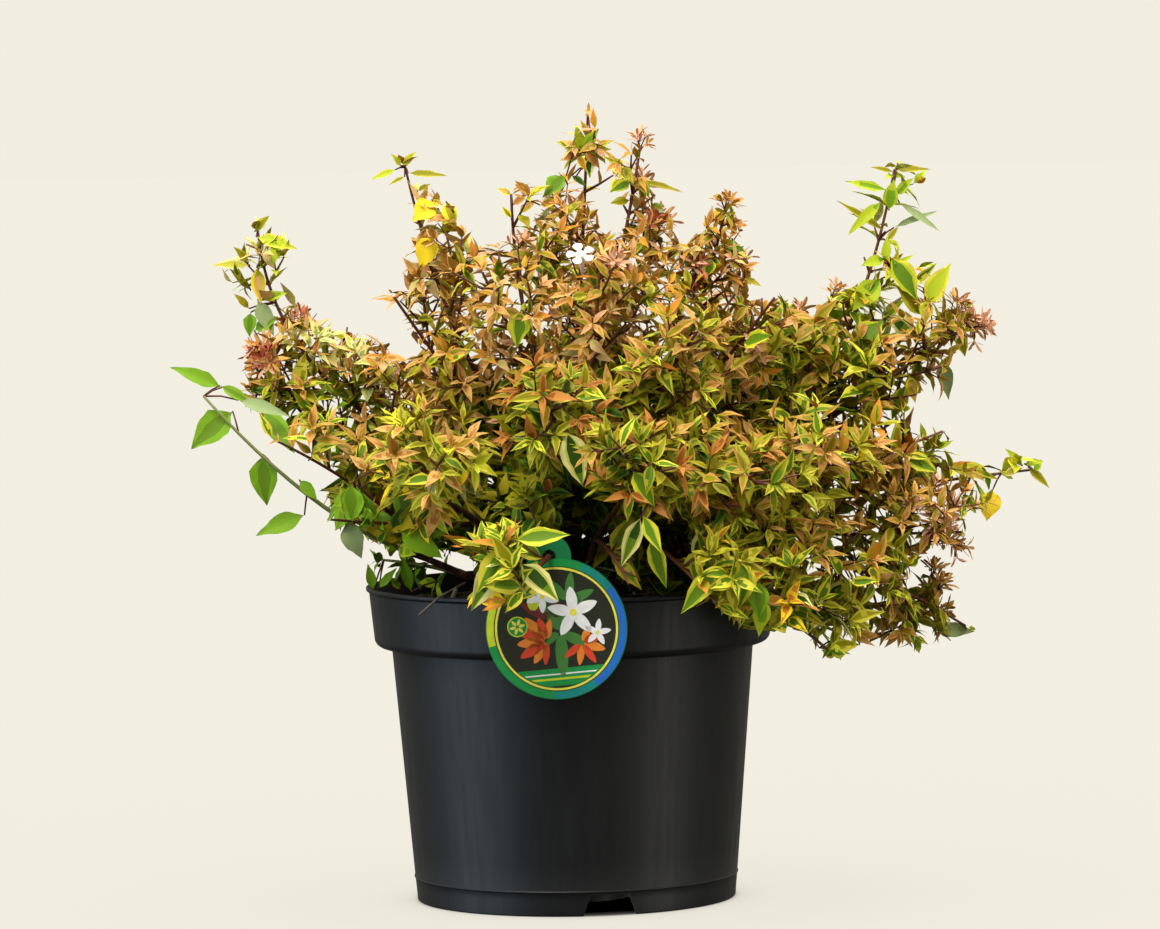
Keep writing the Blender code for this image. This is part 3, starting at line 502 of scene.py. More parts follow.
# Radii of stems and shoots at their foot, with a stem's at its tip beside it
STEM_RADII = (1.6 * MM, 0.75 * MM)
SHOOT_RADIUS = 0.95 * MM      # of a side shoot of a stem
INNER_RADIUS = 0.8 * MM       # of a shoot on a bough
SPRAY_RADIUS = 0.9 * MM       # of a shoot at a place of its own
FORK_RADIUS_SHARE = 0.65      # a finer shoot's radius as a share of its shoot's

# Least and greatest length in mm of finer shoots, side shoots of slender masses, shoots on boughs
FORK_LENGTHS = (12, 20)
SLENDER_LENGTHS = (10, 18)
INNER_LENGTHS = (20, 42)

# Heads of calyxes: how many stand on the tip of a mass that always has them or not, how many of
# them point forward, least and greatest length in mm of their stalks and sepals
FULL_HEAD, SMALL_HEAD = 11, 5
FORWARD_CALYXES = 6
CALYX_STALK = 0.35 * MM       # radius
CALYX_STALKS = (3.0, 8.0)
SEPAL_LENGTHS = (7.0, 9.5)
SEPAL_WIDTH = 0.24            # share of its length

# Flowers: distances along the tube with its radii in mm, then petals in the same way as sepals
FLOWER_TUBE = ((1, 0.8), (6, 1.1), (12, 2.2), (16, 3.4))
PETAL_LENGTHS = (5.6, 6.6)
PETAL_WIDTH = 0.85

# Leaves and flowers this far from their twig get a stalk of their own
BRIDGED = 4 * MM
FLOWER_STALK = (0.6 * MM, 0.6 * MM, 0.6 * MM)
LEAF_STALK = (0.6 * MM, 0.5 * MM, 0.45 * MM)
RUN_SPAN = (0.85, 1.25)       # least and greatest length of a placed leaf as a share of its run

# Open flowers: place (right, back, up) in mm that the nearest shoot tip is looked for, petals
FLOWERS = (((9, -60, 350), "white"), ((-20, 120, 350), "rose_pale"),
           ((-60, 130, 350), "white"), ((70, 150, 310), "white"))

# Bare twigs: places along them (right, back, up) in mm, radius in mm
BARE_TWIGS = (
    (((-68, -84, 163), (-66, -86, 172), (-63, -88, 181)), 1.5),
    (((-83, -100, 168), (-72, -92, 177), (-58, -84, 184)), 0.7),
)

# Shoots at places of their own: foot and tip (right, up) and how far back both are in mm, palette,
# how many calyxes it ends in, of which kinds, and its piece where that is not rose
SPRAYS = [((x, back, z), (right, back, up), *rest)
          for x, z, right, up, back, *rest in table("""
41 356 47 371 -30 bronze 7 deep
49 354 54 377 -20 bronze 6 rose
35 356 29 368 -30 bronze
46 335 57 362 -30 bronze
58 335 65 352 -30 bronze 7 deep
68 329 74 355 -24 bronze
89 326 99 350 -24 bronze
73 318 68 340 -40 olive
81 348 87 384 -12 bronze 9 brown
19 338 26 366 -30 bronze
8 341 14 368 -20 bronze
-4 341 4 384 -10 bronze
-12 338 -10 373 -20 bronze
-26 333 -23 359 -30 bronze 4 rose
-37 336 -35 366 -20 bronze
-48 336 -53 366 -20 bronze
-67 357 -70 384 -4 amber
-64 342 -58 364 -10 amber
-71 336 -81 364 -6 amber
19 368 29 387 -20 bronze
41 368 43 388 -16 bronze
178 210 197 225 -60 rose 8 rose
175 205 197 209 -66 rose 9 rose
184 199 209 204 -60 rose 7 rose
170 210 183 215 -66 rose 6 rose
198 218 209 219 -60 rose 5 rose
179 164 196 177 -40 olive 8 brown
190 164 202 173 -40 olive 8 brown
184 151 201 161 -36 olive 7 brown
153 191 175 187 -60 olive
148 169 170 164 -60 olive
154 199 184 194 -60 olive
165 167 190 168 -44 olive
141 171 152 154 -80 olive
160 223 179 226 -50 olive
166 234 188 239 -40 olive
171 212 182 201 -50 olive
204 312 220 327 -16 rose 8 rose
210 307 227 316 -16 rose 8 rose
184 384 184 405 0 fresh 0 - gold
180 337 196 353 -6 fresh 0 - gold
177 315 168 332 -6 fresh 0 - gold
-149 279 -164 309 -16 bronze
-144 274 -158 291 -20 bronze
-132 268 -151 281 -24 olive
150 278 146 297 -30 bronze
162 266 160 285 -20 bronze
-5 221 17 248 -140 olive 0 - lime
-155 304 -168 311 -26 bronze 11 deep
-139 309 -148 321 -6 bronze 10 deep
-121 292 -127 309 -10 pale
-108 284 -110 308 -10 pale
-132 297 -135 312 -10 pale
-51 342 -46 366 -16 tawny
-58 320 -58 341 -20 tawny
-62 333 -53 352 -16 amber
5 356 7 380 -10 tawny
-3 360 -7 377 -10 tawny
-149 271 -170 290 -26 olive
-132 282 -149 298 -20 bronze
-121 276 -120 296 -20 bronze
-99 282 -94 312 -30 bronze
-107 293 -101 314 -20 amber
139 278 128 306 -40 bronze
156 277 157 308 -20 olive
117 290 116 315 -40 bronze
178 254 169 277 -20 olive
187 276 193 304 -16 bronze
190 299 204 307 -16 bronze
199 304 208 326 -16 olive
201 292 207 307 -16 bronze
176 156 184 149 -44 olive
113 168 112 156 -110 olive
40 324 44 349 -40 tawny
45 308 45 333 -50 bronze
124 195 129 203 -110 olive
148 272 139 304 -30 lush
164 263 158 295 -24 lush
128 259 123 290 -40 lush
176 274 169 303 -16 lush
157 302 151 326 -10 lush
140 302 129 319 -20 lush
-149 269 -157 285 -26 lush
-124 268 -128 287 -26 lush
""")]

# Leaves that stand out: foot (right, back, up) in mm, run to the tip, width as a share of the
# length, kind
FEATURE_LEAVES = [((x, y, z), (right, back, up), width, kind)
                  for x, y, z, right, back, up, width, kind in table("""
-72 -10 391 -13 -6 -10 0.78 gold
-74 -20 373 -7 -6 -19 0.62 gold
-66 -16 391 5 -8 -14 0.5 tan_gold
-25 -75 332 -3 -4 -20 0.62 wide_gold
-12 -95 304 2 -4 -25 0.55 wide_gold
-1 -135 269 9 -4 -30 0.5 wide_cream
20 -125 263 10 -4 -16 0.5 wide_gold
-36 -165 204 -18 -4 -29 0.42 green_cream
-27 -170 201 21 -6 -20 0.44 green_cream
-29 -170 213 29 -4 4 0.38 green_yellow
-35 -168 209 -16 -8 -23 0.42 green_yellow
38 -150 223 -11 -4 -27 0.34 wide_cream
39 -155 224 10 -6 -20 0.36 wide_gold
43 -140 210 8 -2 -26 0.34 wide_gold
34 -150 248 12 -6 -19 0.46 green_yellow
79 -150 195 -21 -4 -24 0.36 green_yellow
92 -155 198 -1 -6 -24 0.62 wide_gold
101 -150 187 -1 -4 -20 0.55 green
-184 -65 279 -24 -5 -19 0.6 green
-168 -65 255 1 -6 -28 0.56 green
-146 -60 221 -27 -5 -10 0.4 green_plain
-190 -62 292 -27 -5 14 0.3 green_plain
-191 -62 293 19 -5 -9 0.3 green
-181 -64 285 29 -5 -8 0.26 green_under
-168 -66 278 18 -5 -22 0.36 green
-148 -70 241 10 -5 -11 0.44 green_plain
-114 -80 237 -15 -5 -23 0.62 green
-123 -80 218 9 -5 -20 0.55 green_under
-93 -100 214 24 -4 -14 0.5 green_plain
-119 -100 240 1 -4 -20 0.56 green
185 -50 248 19 -4 -9 0.5 green_yellow
97 -80 311 19 -5 8 0.45 green_yellow
180 -20 356 17 -5 -23 0.5 wide_gold
177 -16 355 -13 -5 -2 0.5 lime_green
200 -18 329 12 -5 24 0.48 lime
199 -16 325 -15 -5 16 0.42 green_soft
175 -14 344 -17 -5 -17 0.55 lime_green
176 -22 321 -24 -5 -20 0.5 wide_gold
179 -14 323 18 -5 -12 0.52 wide_cream
175 -10 307 -8 -5 -19 0.5 green_soft
199 -20 332 0 -5 -13 0.6 lime
179 -6 393 -23 -5 6 0.24 lime_green
184 -8 390 9 -5 10 0.42 lime_green
176 -12 387 -20 -5 -18 0.24 lime_green
186 -8 386 23 -5 -16 0.16 green_under
178 -6 370 -26 -5 19 0.14 olive_yellow
183 -4 372 24 -5 11 0.15 green_under
185 0 402 19 -5 3 0.2 olive_yellow
183 -4 403 -12 -5 4 0.22 olive_yellow
180 -12 382 2 -5 17 0.5 lime_green
-172 -8 373 23 -5 -6 0.34 lime
-173 -4 376 8 -5 9 0.45 olive_yellow
-161 -10 371 -1 -5 -13 0.5 lime_green
-176 -6 357 -21 -5 3 0.28 yellow_plain
-177 -4 359 -7 -5 9 0.4 olive_yellow
-172 -10 356 2 -5 -20 0.4 tan_gold
-172 -10 338 9 -5 -20 0.42 green_under
-176 -8 331 -1 -5 -13 0.55 green
-177 -4 333 -7 -5 9 0.35 olive
-176 -2 343 -11 -5 13 0.22 olive
-170 -8 338 14 -5 5 0.4 lime_green
-174 -10 321 12 -5 7 0.5 green
-87 -6 407 22 -5 -1 0.2 olive_yellow
-94 -4 409 -14 -5 -5 0.25 lime
-91 -4 411 -4 -5 7 0.4 lime
-90 -2 411 7 -5 8 0.35 lime
-89 -4 405 -9 -5 -4 0.25 olive_yellow
-82 -4 397 7 -5 4 0.35 olive
1 -8 404 -14 -5 -11 0.5 green
-19 -6 393 -8 -5 9 0.45 copper_plain
-14 -8 388 11 -5 3 0.45 orange_gold
4 -4 404 8 -5 -5 0.35 green_deep
9 -6 418 -12 -5 6 0.45 lime
10 -6 418 9 -5 12 0.45 lime_green
9 -6 417 -11 -5 -4 0.4 copper_plain
11 -4 419 -4 -5 13 0.4 lime_green
13 -8 417 13 -5 2 0.4 olive
12 -8 418 8 -5 -10 0.45 copper_plain
14 -8 414 0 -5 -11 0.5 wide_cream
8 -8 415 4 -5 -8 0.45 orange_gold
18 -8 418 5 -5 -7 0.45 olive_deep
38 -20 400 -13 -5 -4 0.5 green_yellow
41 -20 400 6 -5 -7 0.5 green
42 -16 401 24 -5 -6 0.14 olive
36 -20 390 -11 -5 -1 0.45 green_soft
50 -20 387 5 -5 -3 0.4 green_under
236 -4 232 -26 -5 9 0.36 lime
236 -6 225 -4 -5 -17 0.72 gold
254 -4 239 10 -5 2 0.4 lime_green
253 -4 238 -9 -5 10 0.35 lime_green
256 -4 237 12 -5 -11 0.28 olive_yellow
219 -8 223 7 -5 -10 0.5 green
247 -6 231 -7 -5 5 0.4 lime
220 -8 226 -2 -5 10 0.4 green_soft
242 -8 233 10 -5 5 0.4 yellow_plain
208 -10 299 4 -5 -23 0.38 green_under
217 -16 312 4 -5 -12 0.5 green_gold
187 -24 285 -8 -5 -19 0.46 wide_gold
191 -26 291 1 -5 -15 0.42 tan_gold
184 -20 267 6 -5 -12 0.44 green
197 -30 255 -2 -5 9 0.35 lime_green
201 -30 149 22 -5 0 0.42 green_under
185 -34 172 -3 -5 -15 0.5 green_under
190 -30 146 3 -5 -10 0.45 lime_green
185 -34 172 14 -5 -5 0.5 green_soft
169 -60 148 -18 -5 5 0.28 green_under
153 -60 157 6 -5 -12 0.42 green
142 -90 156 5 -5 -17 0.36 lime_green
143 -90 150 -7 -5 -10 0.3 green_yellow
104 -140 176 -4 -5 -17 0.46 lime_green
124 -110 174 3 -5 -16 0.5 wide_gold
115 -120 175 -1 -5 -11 0.45 green
81 -26 357 -4 -5 -10 0.62 wide_gold
85 -14 370 15 -5 -9 0.36 green
99 -24 352 8 -5 3 0.34 tan
97 -24 352 -7 -5 3 0.4 olive_copper
100 -24 347 8 -5 -5 0.3 olive
49 -44 344 -9 -5 -9 0.55 green_deep
196 -44 168 -13 -5 -12 0.72 green_under
178 -50 182 -2 -5 -18 0.42 wide_cream
155 -60 176 13 -5 -18 0.26 green_cream
138 -60 246 21 -5 -10 0.42 green
220 -10 222 6 -5 -9 0.45 green_yellow
68 -24 352 -1 -5 10 0.6 green_plain
-2 -6 404 -11 -5 -12 0.45 green
-7 -10 388 -12 -5 -15 0.16 green_under
32 -16 402 -7 -5 -7 0.6 green_gold
42 -16 402 5 -5 -10 0.52 lime_green
48 -16 388 7 -5 -5 0.5 green
-11 -20 371 9 -5 -2 0.44 green_gold
-19 -6 394 -8 -5 6 0.5 copper_plain
6 -6 403 5 -5 -4 0.45 green_deep
-29 -6 391 -8 0 7 0.45 tan_gold
-29 -6 388 8 0 7 0.4 copper_plain
-30 -6 381 -5 0 7 0.4 green_gold
-110 -24 176 -3 0 15 0.36 green_plain
-107 -26 177 10 0 12 0.32 green_plain
-89 -28 175 -5 0 21 0.3 green_plain
-95 -24 176 -6 0 8 0.4 lime_green
208 -14 292 6 0 11 0.4 green_gold
192 -14 303 12 0 -6 0.3 olive_yellow
188 -14 292 10 0 -11 0.35 tan_gold
232 -8 236 3 0 -12 0.3 green
226 -8 236 14 0 -5 0.26 olive_yellow
177 -16 353 2 0 15 0.36 lime_green
179 -10 365 6 0 8 0.4 olive_yellow
-74 -10 392 7 0 -3 0.45 tan_gold
""")]


def linear(colour):
    """A screen colour of 0 to 255 as linear light."""
    shares = [part / 255.0 for part in colour]
    return tuple(s / 12.92 if s <= 0.04045 else ((s + 0.055) / 1.055) ** 2.4 for s in shares)


def principled(name, colour, roughness, specular=0.5):
    """A material with its tree and its shader."""
    material = bpy.data.materials.new(name)
    material.use_nodes = True
    tree = material.node_tree
    shader = tree.nodes["Principled BSDF"]
    shader.inputs["Base Color"].default_value = (*colour, 1.0)
    shader.inputs["Roughness"].default_value = roughness
    shader.inputs["Specular IOR Level"].default_value = specular
    return material, tree, shader


def link(tree, source, target):
    tree.links.new(source, target)


def add_node(tree, kind, sockets=None, **settings):
    """A node whose sockets get a value each, or the output that feeds them."""
    node = tree.nodes.new("ShaderNode" + kind)
    for name, value in settings.items():
        setattr(node, name, value)
    for name, value in (sockets or {}).items():
        if isinstance(value, bpy.types.NodeSocket):
            link(tree, value, node.inputs[name])
        else:
            node.inputs[name].default_value = value
    return node


def ramp(tree, source, *stops):
    """A colour ramp of (place, colour) stops fed by source."""
    node = add_node(tree, "ValToRGB", {"Fac": source})
    elements = node.color_ramp.elements
    while len(elements) < len(stops):
        elements.new(0.5)
    for element, (place, colour) in zip(elements, stops):
        element.position = place
        element.color = (*colour, 1.0)
    return node.outputs["Color"]


def noise_field(tree, scale, stretch=(1.0, 1.0, 1.0), detail=3.0, roughness=0.5):
    """Noise over the piece's own coordinates, which may be stretched."""
    place = add_node(tree, "TexCoord").outputs["Object"]
    mapping = add_node(tree, "Mapping", {"Vector": place, "Scale": stretch})
    field = add_node(tree, "TexNoise", {"Vector": mapping.outputs["Vector"], "Scale": scale,
                                        "Detail": detail, "Roughness": roughness})
    return field.outputs["Fac"]


def bump(tree, shader, height, distance, strength=1.0):
    """Relief of the surface, distance deep."""
    node = add_node(tree, "Bump", {"Height": height, "Distance": distance, "Strength": strength})
    link(tree, node.outputs["Normal"], shader.inputs["Normal"])


# Meshes from arrays

class Heap:
    """Points and faces of many small shapes that become one mesh."""

    def __init__(self):
        self.points = []
        self.faces = {3: [], 4: []}
        self.paints = {3: [], 4: []}
        self.count = 0

    def add(self, points, faces, paints):
        """Adds points, and faces of one size with a paint number each, counted from 0."""
        self.points.append(points)
        self.add_faces(faces, paints, self.count)
        self.count += len(points)

    def add_faces(self, faces, paints, start):
        faces = np.asarray(faces)
        size = faces.shape[1]
        self.faces[size].append(faces + start)
        self.paints[size].append(np.broadcast_to(paints, len(faces)))

    def mesh(self, name, materials, smooth=True):
        points = np.concatenate(self.points)
        corners, starts, paints = [], [], []
        offset = 0
        for size in (3, 4):
            if self.faces[size]:
                faces = np.concatenate(self.faces[size])
                corners.append(faces.ravel())
                starts.append(offset + size * np.arange(len(faces)))
                paints.append(np.concatenate(self.paints[size]))
                offset += faces.size
        mesh = bpy.data.meshes.new(name)
        mesh.vertices.add(len(points))
        mesh.vertices.foreach_set("co", points.astype(np.float32).ravel())
        mesh.loops.add(offset)
        mesh.loops.foreach_set("vertex_index", np.concatenate(corners).astype(np.int32))
        starts = np.concatenate(starts)
        mesh.polygons.add(len(starts))
        mesh.polygons.foreach_set("loop_start", starts.astype(np.int32))
        mesh.polygons.foreach_set("material_index", np.concatenate(paints).astype(np.int32))
        mesh.polygons.foreach_set("use_smooth", np.full(len(starts), smooth))
        for material in materials:
            mesh.materials.append(material)
        mesh.update(calc_edges=True)
        return mesh


def put(name, data):
    """A new object in the scene."""
    thing = bpy.data.objects.new(name, data)
    bpy.context.scene.collection.objects.link(thing)
    return thing


def add_piece(name, mesh, slot, *nodes):
    """Puts a mesh in the scene as a piece that rides with the plant and stands for nodes."""
    piece = put(name, mesh)
    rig.ride(piece, "root")
    if nodes:
        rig.replaces(piece, *nodes)
    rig.slot(piece, slot)
    return piece


def mesh_of(bm, name):
    """The mesh that a bmesh becomes."""
    mesh = bpy.data.meshes.new(name)
    bm.to_mesh(mesh)
    bm.free()
    return mesh


def arrays_of(bm):
    """Points and faces of a bmesh, which is freed."""
    points = np.array([v.co[:] for v in bm.verts])
    faces = np.array([[v.index for v in f.verts] for f in bm.faces])
    bm.free()
    return points, faces


def taken_from(thing, *helpers):
    """The mesh of an object as its modifiers leave it; the object and its helpers are removed."""
    graph = bpy.context.evaluated_depsgraph_get()
    graph.update()
    mesh = bpy.data.meshes.new_from_object(thing.evaluated_get(graph))
    for spent in (thing, *helpers):
        bpy.data.objects.remove(spent, do_unlink=True)
    return mesh


def ring_faces(rings, sides):
    """Quads between rings of points that follow each other."""
    first = np.arange(rings - 1)[:, None] * sides
    k = np.arange(sides)[None, :]
    after = (k + 1) % sides
    quads = np.stack([first + k, first + after, first + sides + after, first + sides + k], axis=-1)
    return quads.reshape(-1, 4)


def fan(first, centre, sides, turned=False):
    """Triangles from a ring, given by its first point, to a centre; they may face the other way."""
    k = np.arange(sides)
    after = (k + 1) % sides
    if turned:
        k, after = after, k
    return np.stack([first + k, first + after, np.full(sides, centre)], axis=1)


FOOT_CAP, TIP_CAP = 0.3, 0.6      # how far a tube's ends stand out, as shares of its radius


def tube(heap, line, radii, sides, paint, relief=None):
    """A round tube along a line of points, closed with a fan at both ends."""
    line = np.asarray(line, float)
    along = np.gradient(line, axis=0)
    along /= np.linalg.norm(along, axis=1)[:, None]
    side = np.cross(along[0], (0.0, 0.0, 1.0) if abs(along[0][2]) < 0.9 else (1.0, 0.0, 0.0))
    turns = 2 * math.pi * np.arange(sides) / sides
    points = []
    for k, (centre, way) in enumerate(zip(line, along)):
        side = side - way * side.dot(way)
        side /= np.linalg.norm(side)
        up = np.cross(way, side)
        reach = radii[k] * (1.0 if relief is None else relief[k])
        ring = centre + np.outer(np.cos(turns) * reach, side) + np.outer(np.sin(turns) * reach, up)
        points.append(ring)
    end = len(points) * sides
    points.append(line[:1] - along[:1] * radii[0] * FOOT_CAP)
    points.append(line[-1:] + along[-1:] * radii[-1] * TIP_CAP)
    start = heap.count
    heap.add(np.concatenate(points), ring_faces(len(line), sides), paint)
    heap.add_faces(fan(0, end, sides, turned=True), paint, start)
    heap.add_faces(fan(end - sides, end + 1, sides), paint, start)


# Stage, light and camera

def add_light(name, place, target, size, power, colour, dark):
    """A soft lamp that lights all but the things in the dark collection."""
    data = bpy.data.lights.new(name, "AREA")
    data.shape = "RECTANGLE"
    data.size, data.size_y = size
    data.energy = power
    data.color = colour
    lamp = put(name, data)
    lamp.location = place
    lamp.rotation_euler = (Vector(target) - Vector(place)).to_track_quat("-Z", "Y").to_euler()
    lamp.visible_camera = False
    lamp.light_linking.receiver_collection = dark


BACKDROP = (241, 237, 224)
ROOM_LOW, ROOM_HIGH = -0.35, 0.45     # heights of view between which the room gets lighter
FLOOR_SIZE = 60.0
FLOOR_GLOW = 0.856            # share of the backdrop's light that the floor gives by itself
ROOM_LIGHT = 0.74             # light of the room from above, as a share of the backdrop's
FLOOR_LIGHT = 0.14            # light of the room from below
# Reach of the floor's painted shade round the pot, in metres
FLOOR_PAINTED_SHADE_REACH = 0.25
# Painted shade on the floor round and under the pot: distance from the middle of the pot, share of the glow that is
# left there
FLOOR_PAINTED_SHADE = ((0.080, 0.02), (0.089, 0.55), (0.093, 0.90), (0.105, 0.975), (0.16, 0.995))


def add_world():
    """Cream to the camera; to everything else a room that is darker below."""
    world = bpy.data.worlds.new("studio")
    world.use_nodes = True
    tree = world.node_tree
    tree.nodes.clear()
    ways = add_node(tree, "TexCoord").outputs["Generated"]
    height = add_node(tree, "SeparateXYZ", {"Vector": ways}).outputs["Z"]
    room = add_node(tree, "MapRange", {"Value": height, "From Min": ROOM_LOW, "From Max": ROOM_HIGH,
                                       "To Min": FLOOR_LIGHT, "To Max": ROOM_LIGHT})
    rays = add_node(tree, "LightPath").outputs["Is Camera Ray"]
    strength = add_node(tree, "Mix", {0: rays, 2: room.outputs["Result"], 3: 1.0})
    background = add_node(tree, "Background", {"Color": (*linear(BACKDROP), 1.0),
                                               "Strength": strength.outputs[0]})
    add_node(tree, "OutputWorld", {"Surface": background.outputs["Background"]})
    bpy.context.scene.world = world


# Lamps: name, place, target, size, power, colour
LAMPS = (
    ("key_light", (-0.7, -1.3, 2.3), (0.02, 0.0, 0.25), (1.3, 1.3), 64.0, (1.0, 0.98, 0.94)),
    ("top_light", (0.5, 0.1, 2.2), (0.02, 0.0, 0.25), (1.4, 1.4), 42.0, (1.0, 0.99, 0.97)),
    ("left_light", (-1.5, -0.55, 0.1), (0.0, 0.0, 0.12), (1.5, 1.9), 18.5, (0.66, 0.83, 1.0)),
    ("right_light", (1.5, -0.8, 0.1), (0.0, 0.0, 0.12), (0.8, 1.9), 9.0, (1.0, 0.97, 0.90)),
)


def floor_material():
    """Glows like the backdrop, but for a painted shade round and under the pot, where the glow is dimmed."""
    tone = linear(BACKDROP)
    dull = tuple(0.25 * part for part in tone)
    material, tree, shader = principled("studio_floor", dull, 1.0, 0.0)
    glow_tone = (tone[0], tone[1] * 1.007, tone[2] * 1.026, 1.0)
    shader.inputs["Emission Color"].default_value = glow_tone
    # Painted shade: the floor's glow is dimmed near the middle of the pot and under it.
    place = add_node(tree, "TexCoord").outputs["Object"]
    away = add_node(tree, "VectorMath", {0: place}, operation="LENGTH").outputs["Value"]
    scaled = add_node(tree, "Math", {0: away, 1: FLOOR_PAINTED_SHADE_REACH}, operation="DIVIDE",
                      use_clamp=True)
    shade = add_node(tree, "FloatCurve", {"Value": scaled.outputs["Value"]})
    curve = shade.mapping.curves[0]
    curve.points[0].location = (0.0, 0.02)
    curve.points[1].location = (1.0, 1.0)
    for distance, share in FLOOR_PAINTED_SHADE:
        curve.points.new(distance / FLOOR_PAINTED_SHADE_REACH, share)
    shade.mapping.update()
    glow = add_node(tree, "Math", {0: shade.outputs["Value"], 1: FLOOR_GLOW}, operation="MULTIPLY")
    link(tree, glow.outputs["Value"], shader.inputs["Emission Strength"])
    return material


def add_stage():
    """World, floor and lamps.  The floor glows by itself, so no lamp lights it."""
    add_world()
    bm = bmesh.new()
    bmesh.ops.create_grid(bm, x_segments=1, y_segments=1, size=FLOOR_SIZE / 2)
    mesh = mesh_of(bm, "studio_floor")
    mesh.materials.append(floor_material())
    floor = put("studio_floor", mesh)
    floor.visible_diffuse = False
    floor.visible_glossy = False
    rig.stage(floor)
    dark = bpy.data.collections.new("not_lit_by_lamps")
    dark.objects.link(floor)
    dark.collection_objects[0].light_linking.link_state = "EXCLUDE"
    for lamp in LAMPS:
        add_light(*lamp, dark)


# Camera of the photo: place, turns in radians, width and focal length in pixels
CAMERA_PLACE = (0.0059, -3.5108, 0.4545)
CAMERA_PITCH = 0.0603
CAMERA_ROLL = -0.017
PHOTO_WIDTH = 1160
FOCAL_PIXELS = 6292.7


def add_camera():
    data = bpy.data.cameras.new("camera")
    data.sensor_width = 36.0
    data.lens = FOCAL_PIXELS / PHOTO_WIDTH * data.sensor_width
    data.clip_end = 100.0
    camera = put("camera", data)
    pitch = Matrix.Rotation(math.pi / 2 - CAMERA_PITCH, 4, "X")
    roll = Matrix.Rotation(CAMERA_ROLL, 4, "Z")
    camera.matrix_world = Matrix.Translation(CAMERA_PLACE) @ pitch @ roll
    bpy.context.scene.camera = camera


# Pot

def arc(centre, radius, start, end, steps):
    """Points of an arc round centre, from start to end in degrees."""
    turns = [math.radians(start + (end - start) * k / steps) for k in range(steps + 1)]
    return [(centre[0] + radius * math.cos(a), centre[1] + radius * math.sin(a)) for a in turns]


def body_radius(height):
    """Outer radius of the body, which widens from its foot to the collar."""
    return FOOT_RADIUS + (BODY_TOP_RADIUS - FOOT_RADIUS) * height / COLLAR_BOTTOM


def on_body(height, inward=0.0):
    """A point of the profile on the body's wall, or inward of it."""
    return body_radius(height) - inward, height


def straight(first, second, steps):
    """Points from first to just before second."""
    return [tuple(a + (b - a) * k / steps for a, b in zip(first, second)) for k in range(steps)]


def pot_profile():
    """(radius, height) pairs from the floor's middle up over the lip and down to the foot."""
    floor_top = FLOOR_LIFT + WALL
    step_top = COLLAR_BOTTOM + WALL
    lip_in = COLLAR_TOP_RADIUS - WALL + LIP_ROUNDING
    lip_out = LIP_RADIUS - LIP_ROUNDING
    collar_foot = COLLAR_BOTTOM + COLLAR_ROUNDING
    over_ridge = on_body(RIDGE_HEIGHT + 2 * RIDGE_SIZE)
    foot_in = FOOT_RADIUS - FOOT_RING_WIDTH
    return [
        (0.0, floor_top), on_body(floor_top, WALL),
        (body_radius(COLLAR_BOTTOM) - WALL, step_top), (COLLAR_BOTTOM_RADIUS - WALL, step_top),
        *arc((lip_in, POT_HEIGHT - LIP_ROUNDING), LIP_ROUNDING, 180.0, 90.0, 5),
        *arc((lip_out, POT_HEIGHT - LIP_ROUNDING), LIP_ROUNDING, 90.0, 0.0, 5),
        *arc((lip_out, POT_HEIGHT - LIP_HEIGHT), LIP_ROUNDING, 0.0, -70.0, 4),
        *straight((COLLAR_TOP_RADIUS, POT_HEIGHT - 2.0 * LIP_HEIGHT),
                  (COLLAR_BOTTOM_RADIUS, collar_foot), 5),
        *arc((COLLAR_BOTTOM_RADIUS - COLLAR_ROUNDING, collar_foot), COLLAR_ROUNDING, 0.0, -90.0, 8),
        *arc((body_radius(COLLAR_BOTTOM) + STEP_ROUNDING, COLLAR_BOTTOM - STEP_ROUNDING),
             STEP_ROUNDING, 90.0, 180.0, 4),
        *straight(on_body(COLLAR_BOTTOM - 4 * MM), over_ridge, 8), over_ridge,
        *arc(on_body(RIDGE_HEIGHT), RIDGE_SIZE, 60.0, -60.0, 4),
        *straight((body_radius(RIDGE_HEIGHT) - 0.1 * MM, RIDGE_HEIGHT - 2 * RIDGE_SIZE),
                  (FOOT_RADIUS, 2 * FOOT_ROUNDING), 3),
        *arc((FOOT_RADIUS - FOOT_ROUNDING, FOOT_ROUNDING), FOOT_ROUNDING, 0.0, -90.0, 4),
        (foot_in, 0.0), (foot_in, FLOOR_LIFT),
        (CENTRE_FOOT_RADIUS + 2 * MM, FLOOR_LIFT), (CENTRE_FOOT_RADIUS, 0.0), (0.0, 0.0),
    ]


def lathe(name, profile, steps):
    """A mesh turned round Z from its profile of (radius, height) pairs."""
    bm = bmesh.new()
    line = [bm.verts.new((radius, 0.0, height)) for radius, height in profile]
    edges = [bm.edges.new(pair) for pair in zip(line, line[1:])]
    bmesh.ops.spin(bm, geom=line + edges, cent=(0, 0, 0), axis=(0, 0, 1),
                   angle=2 * math.pi, steps=steps, use_merge=True)
    bmesh.ops.remove_doubles(bm, verts=bm.verts, dist=0.01 * MM)
    bmesh.ops.recalc_face_normals(bm, faces=bm.faces)
    return mesh_of(bm, name)


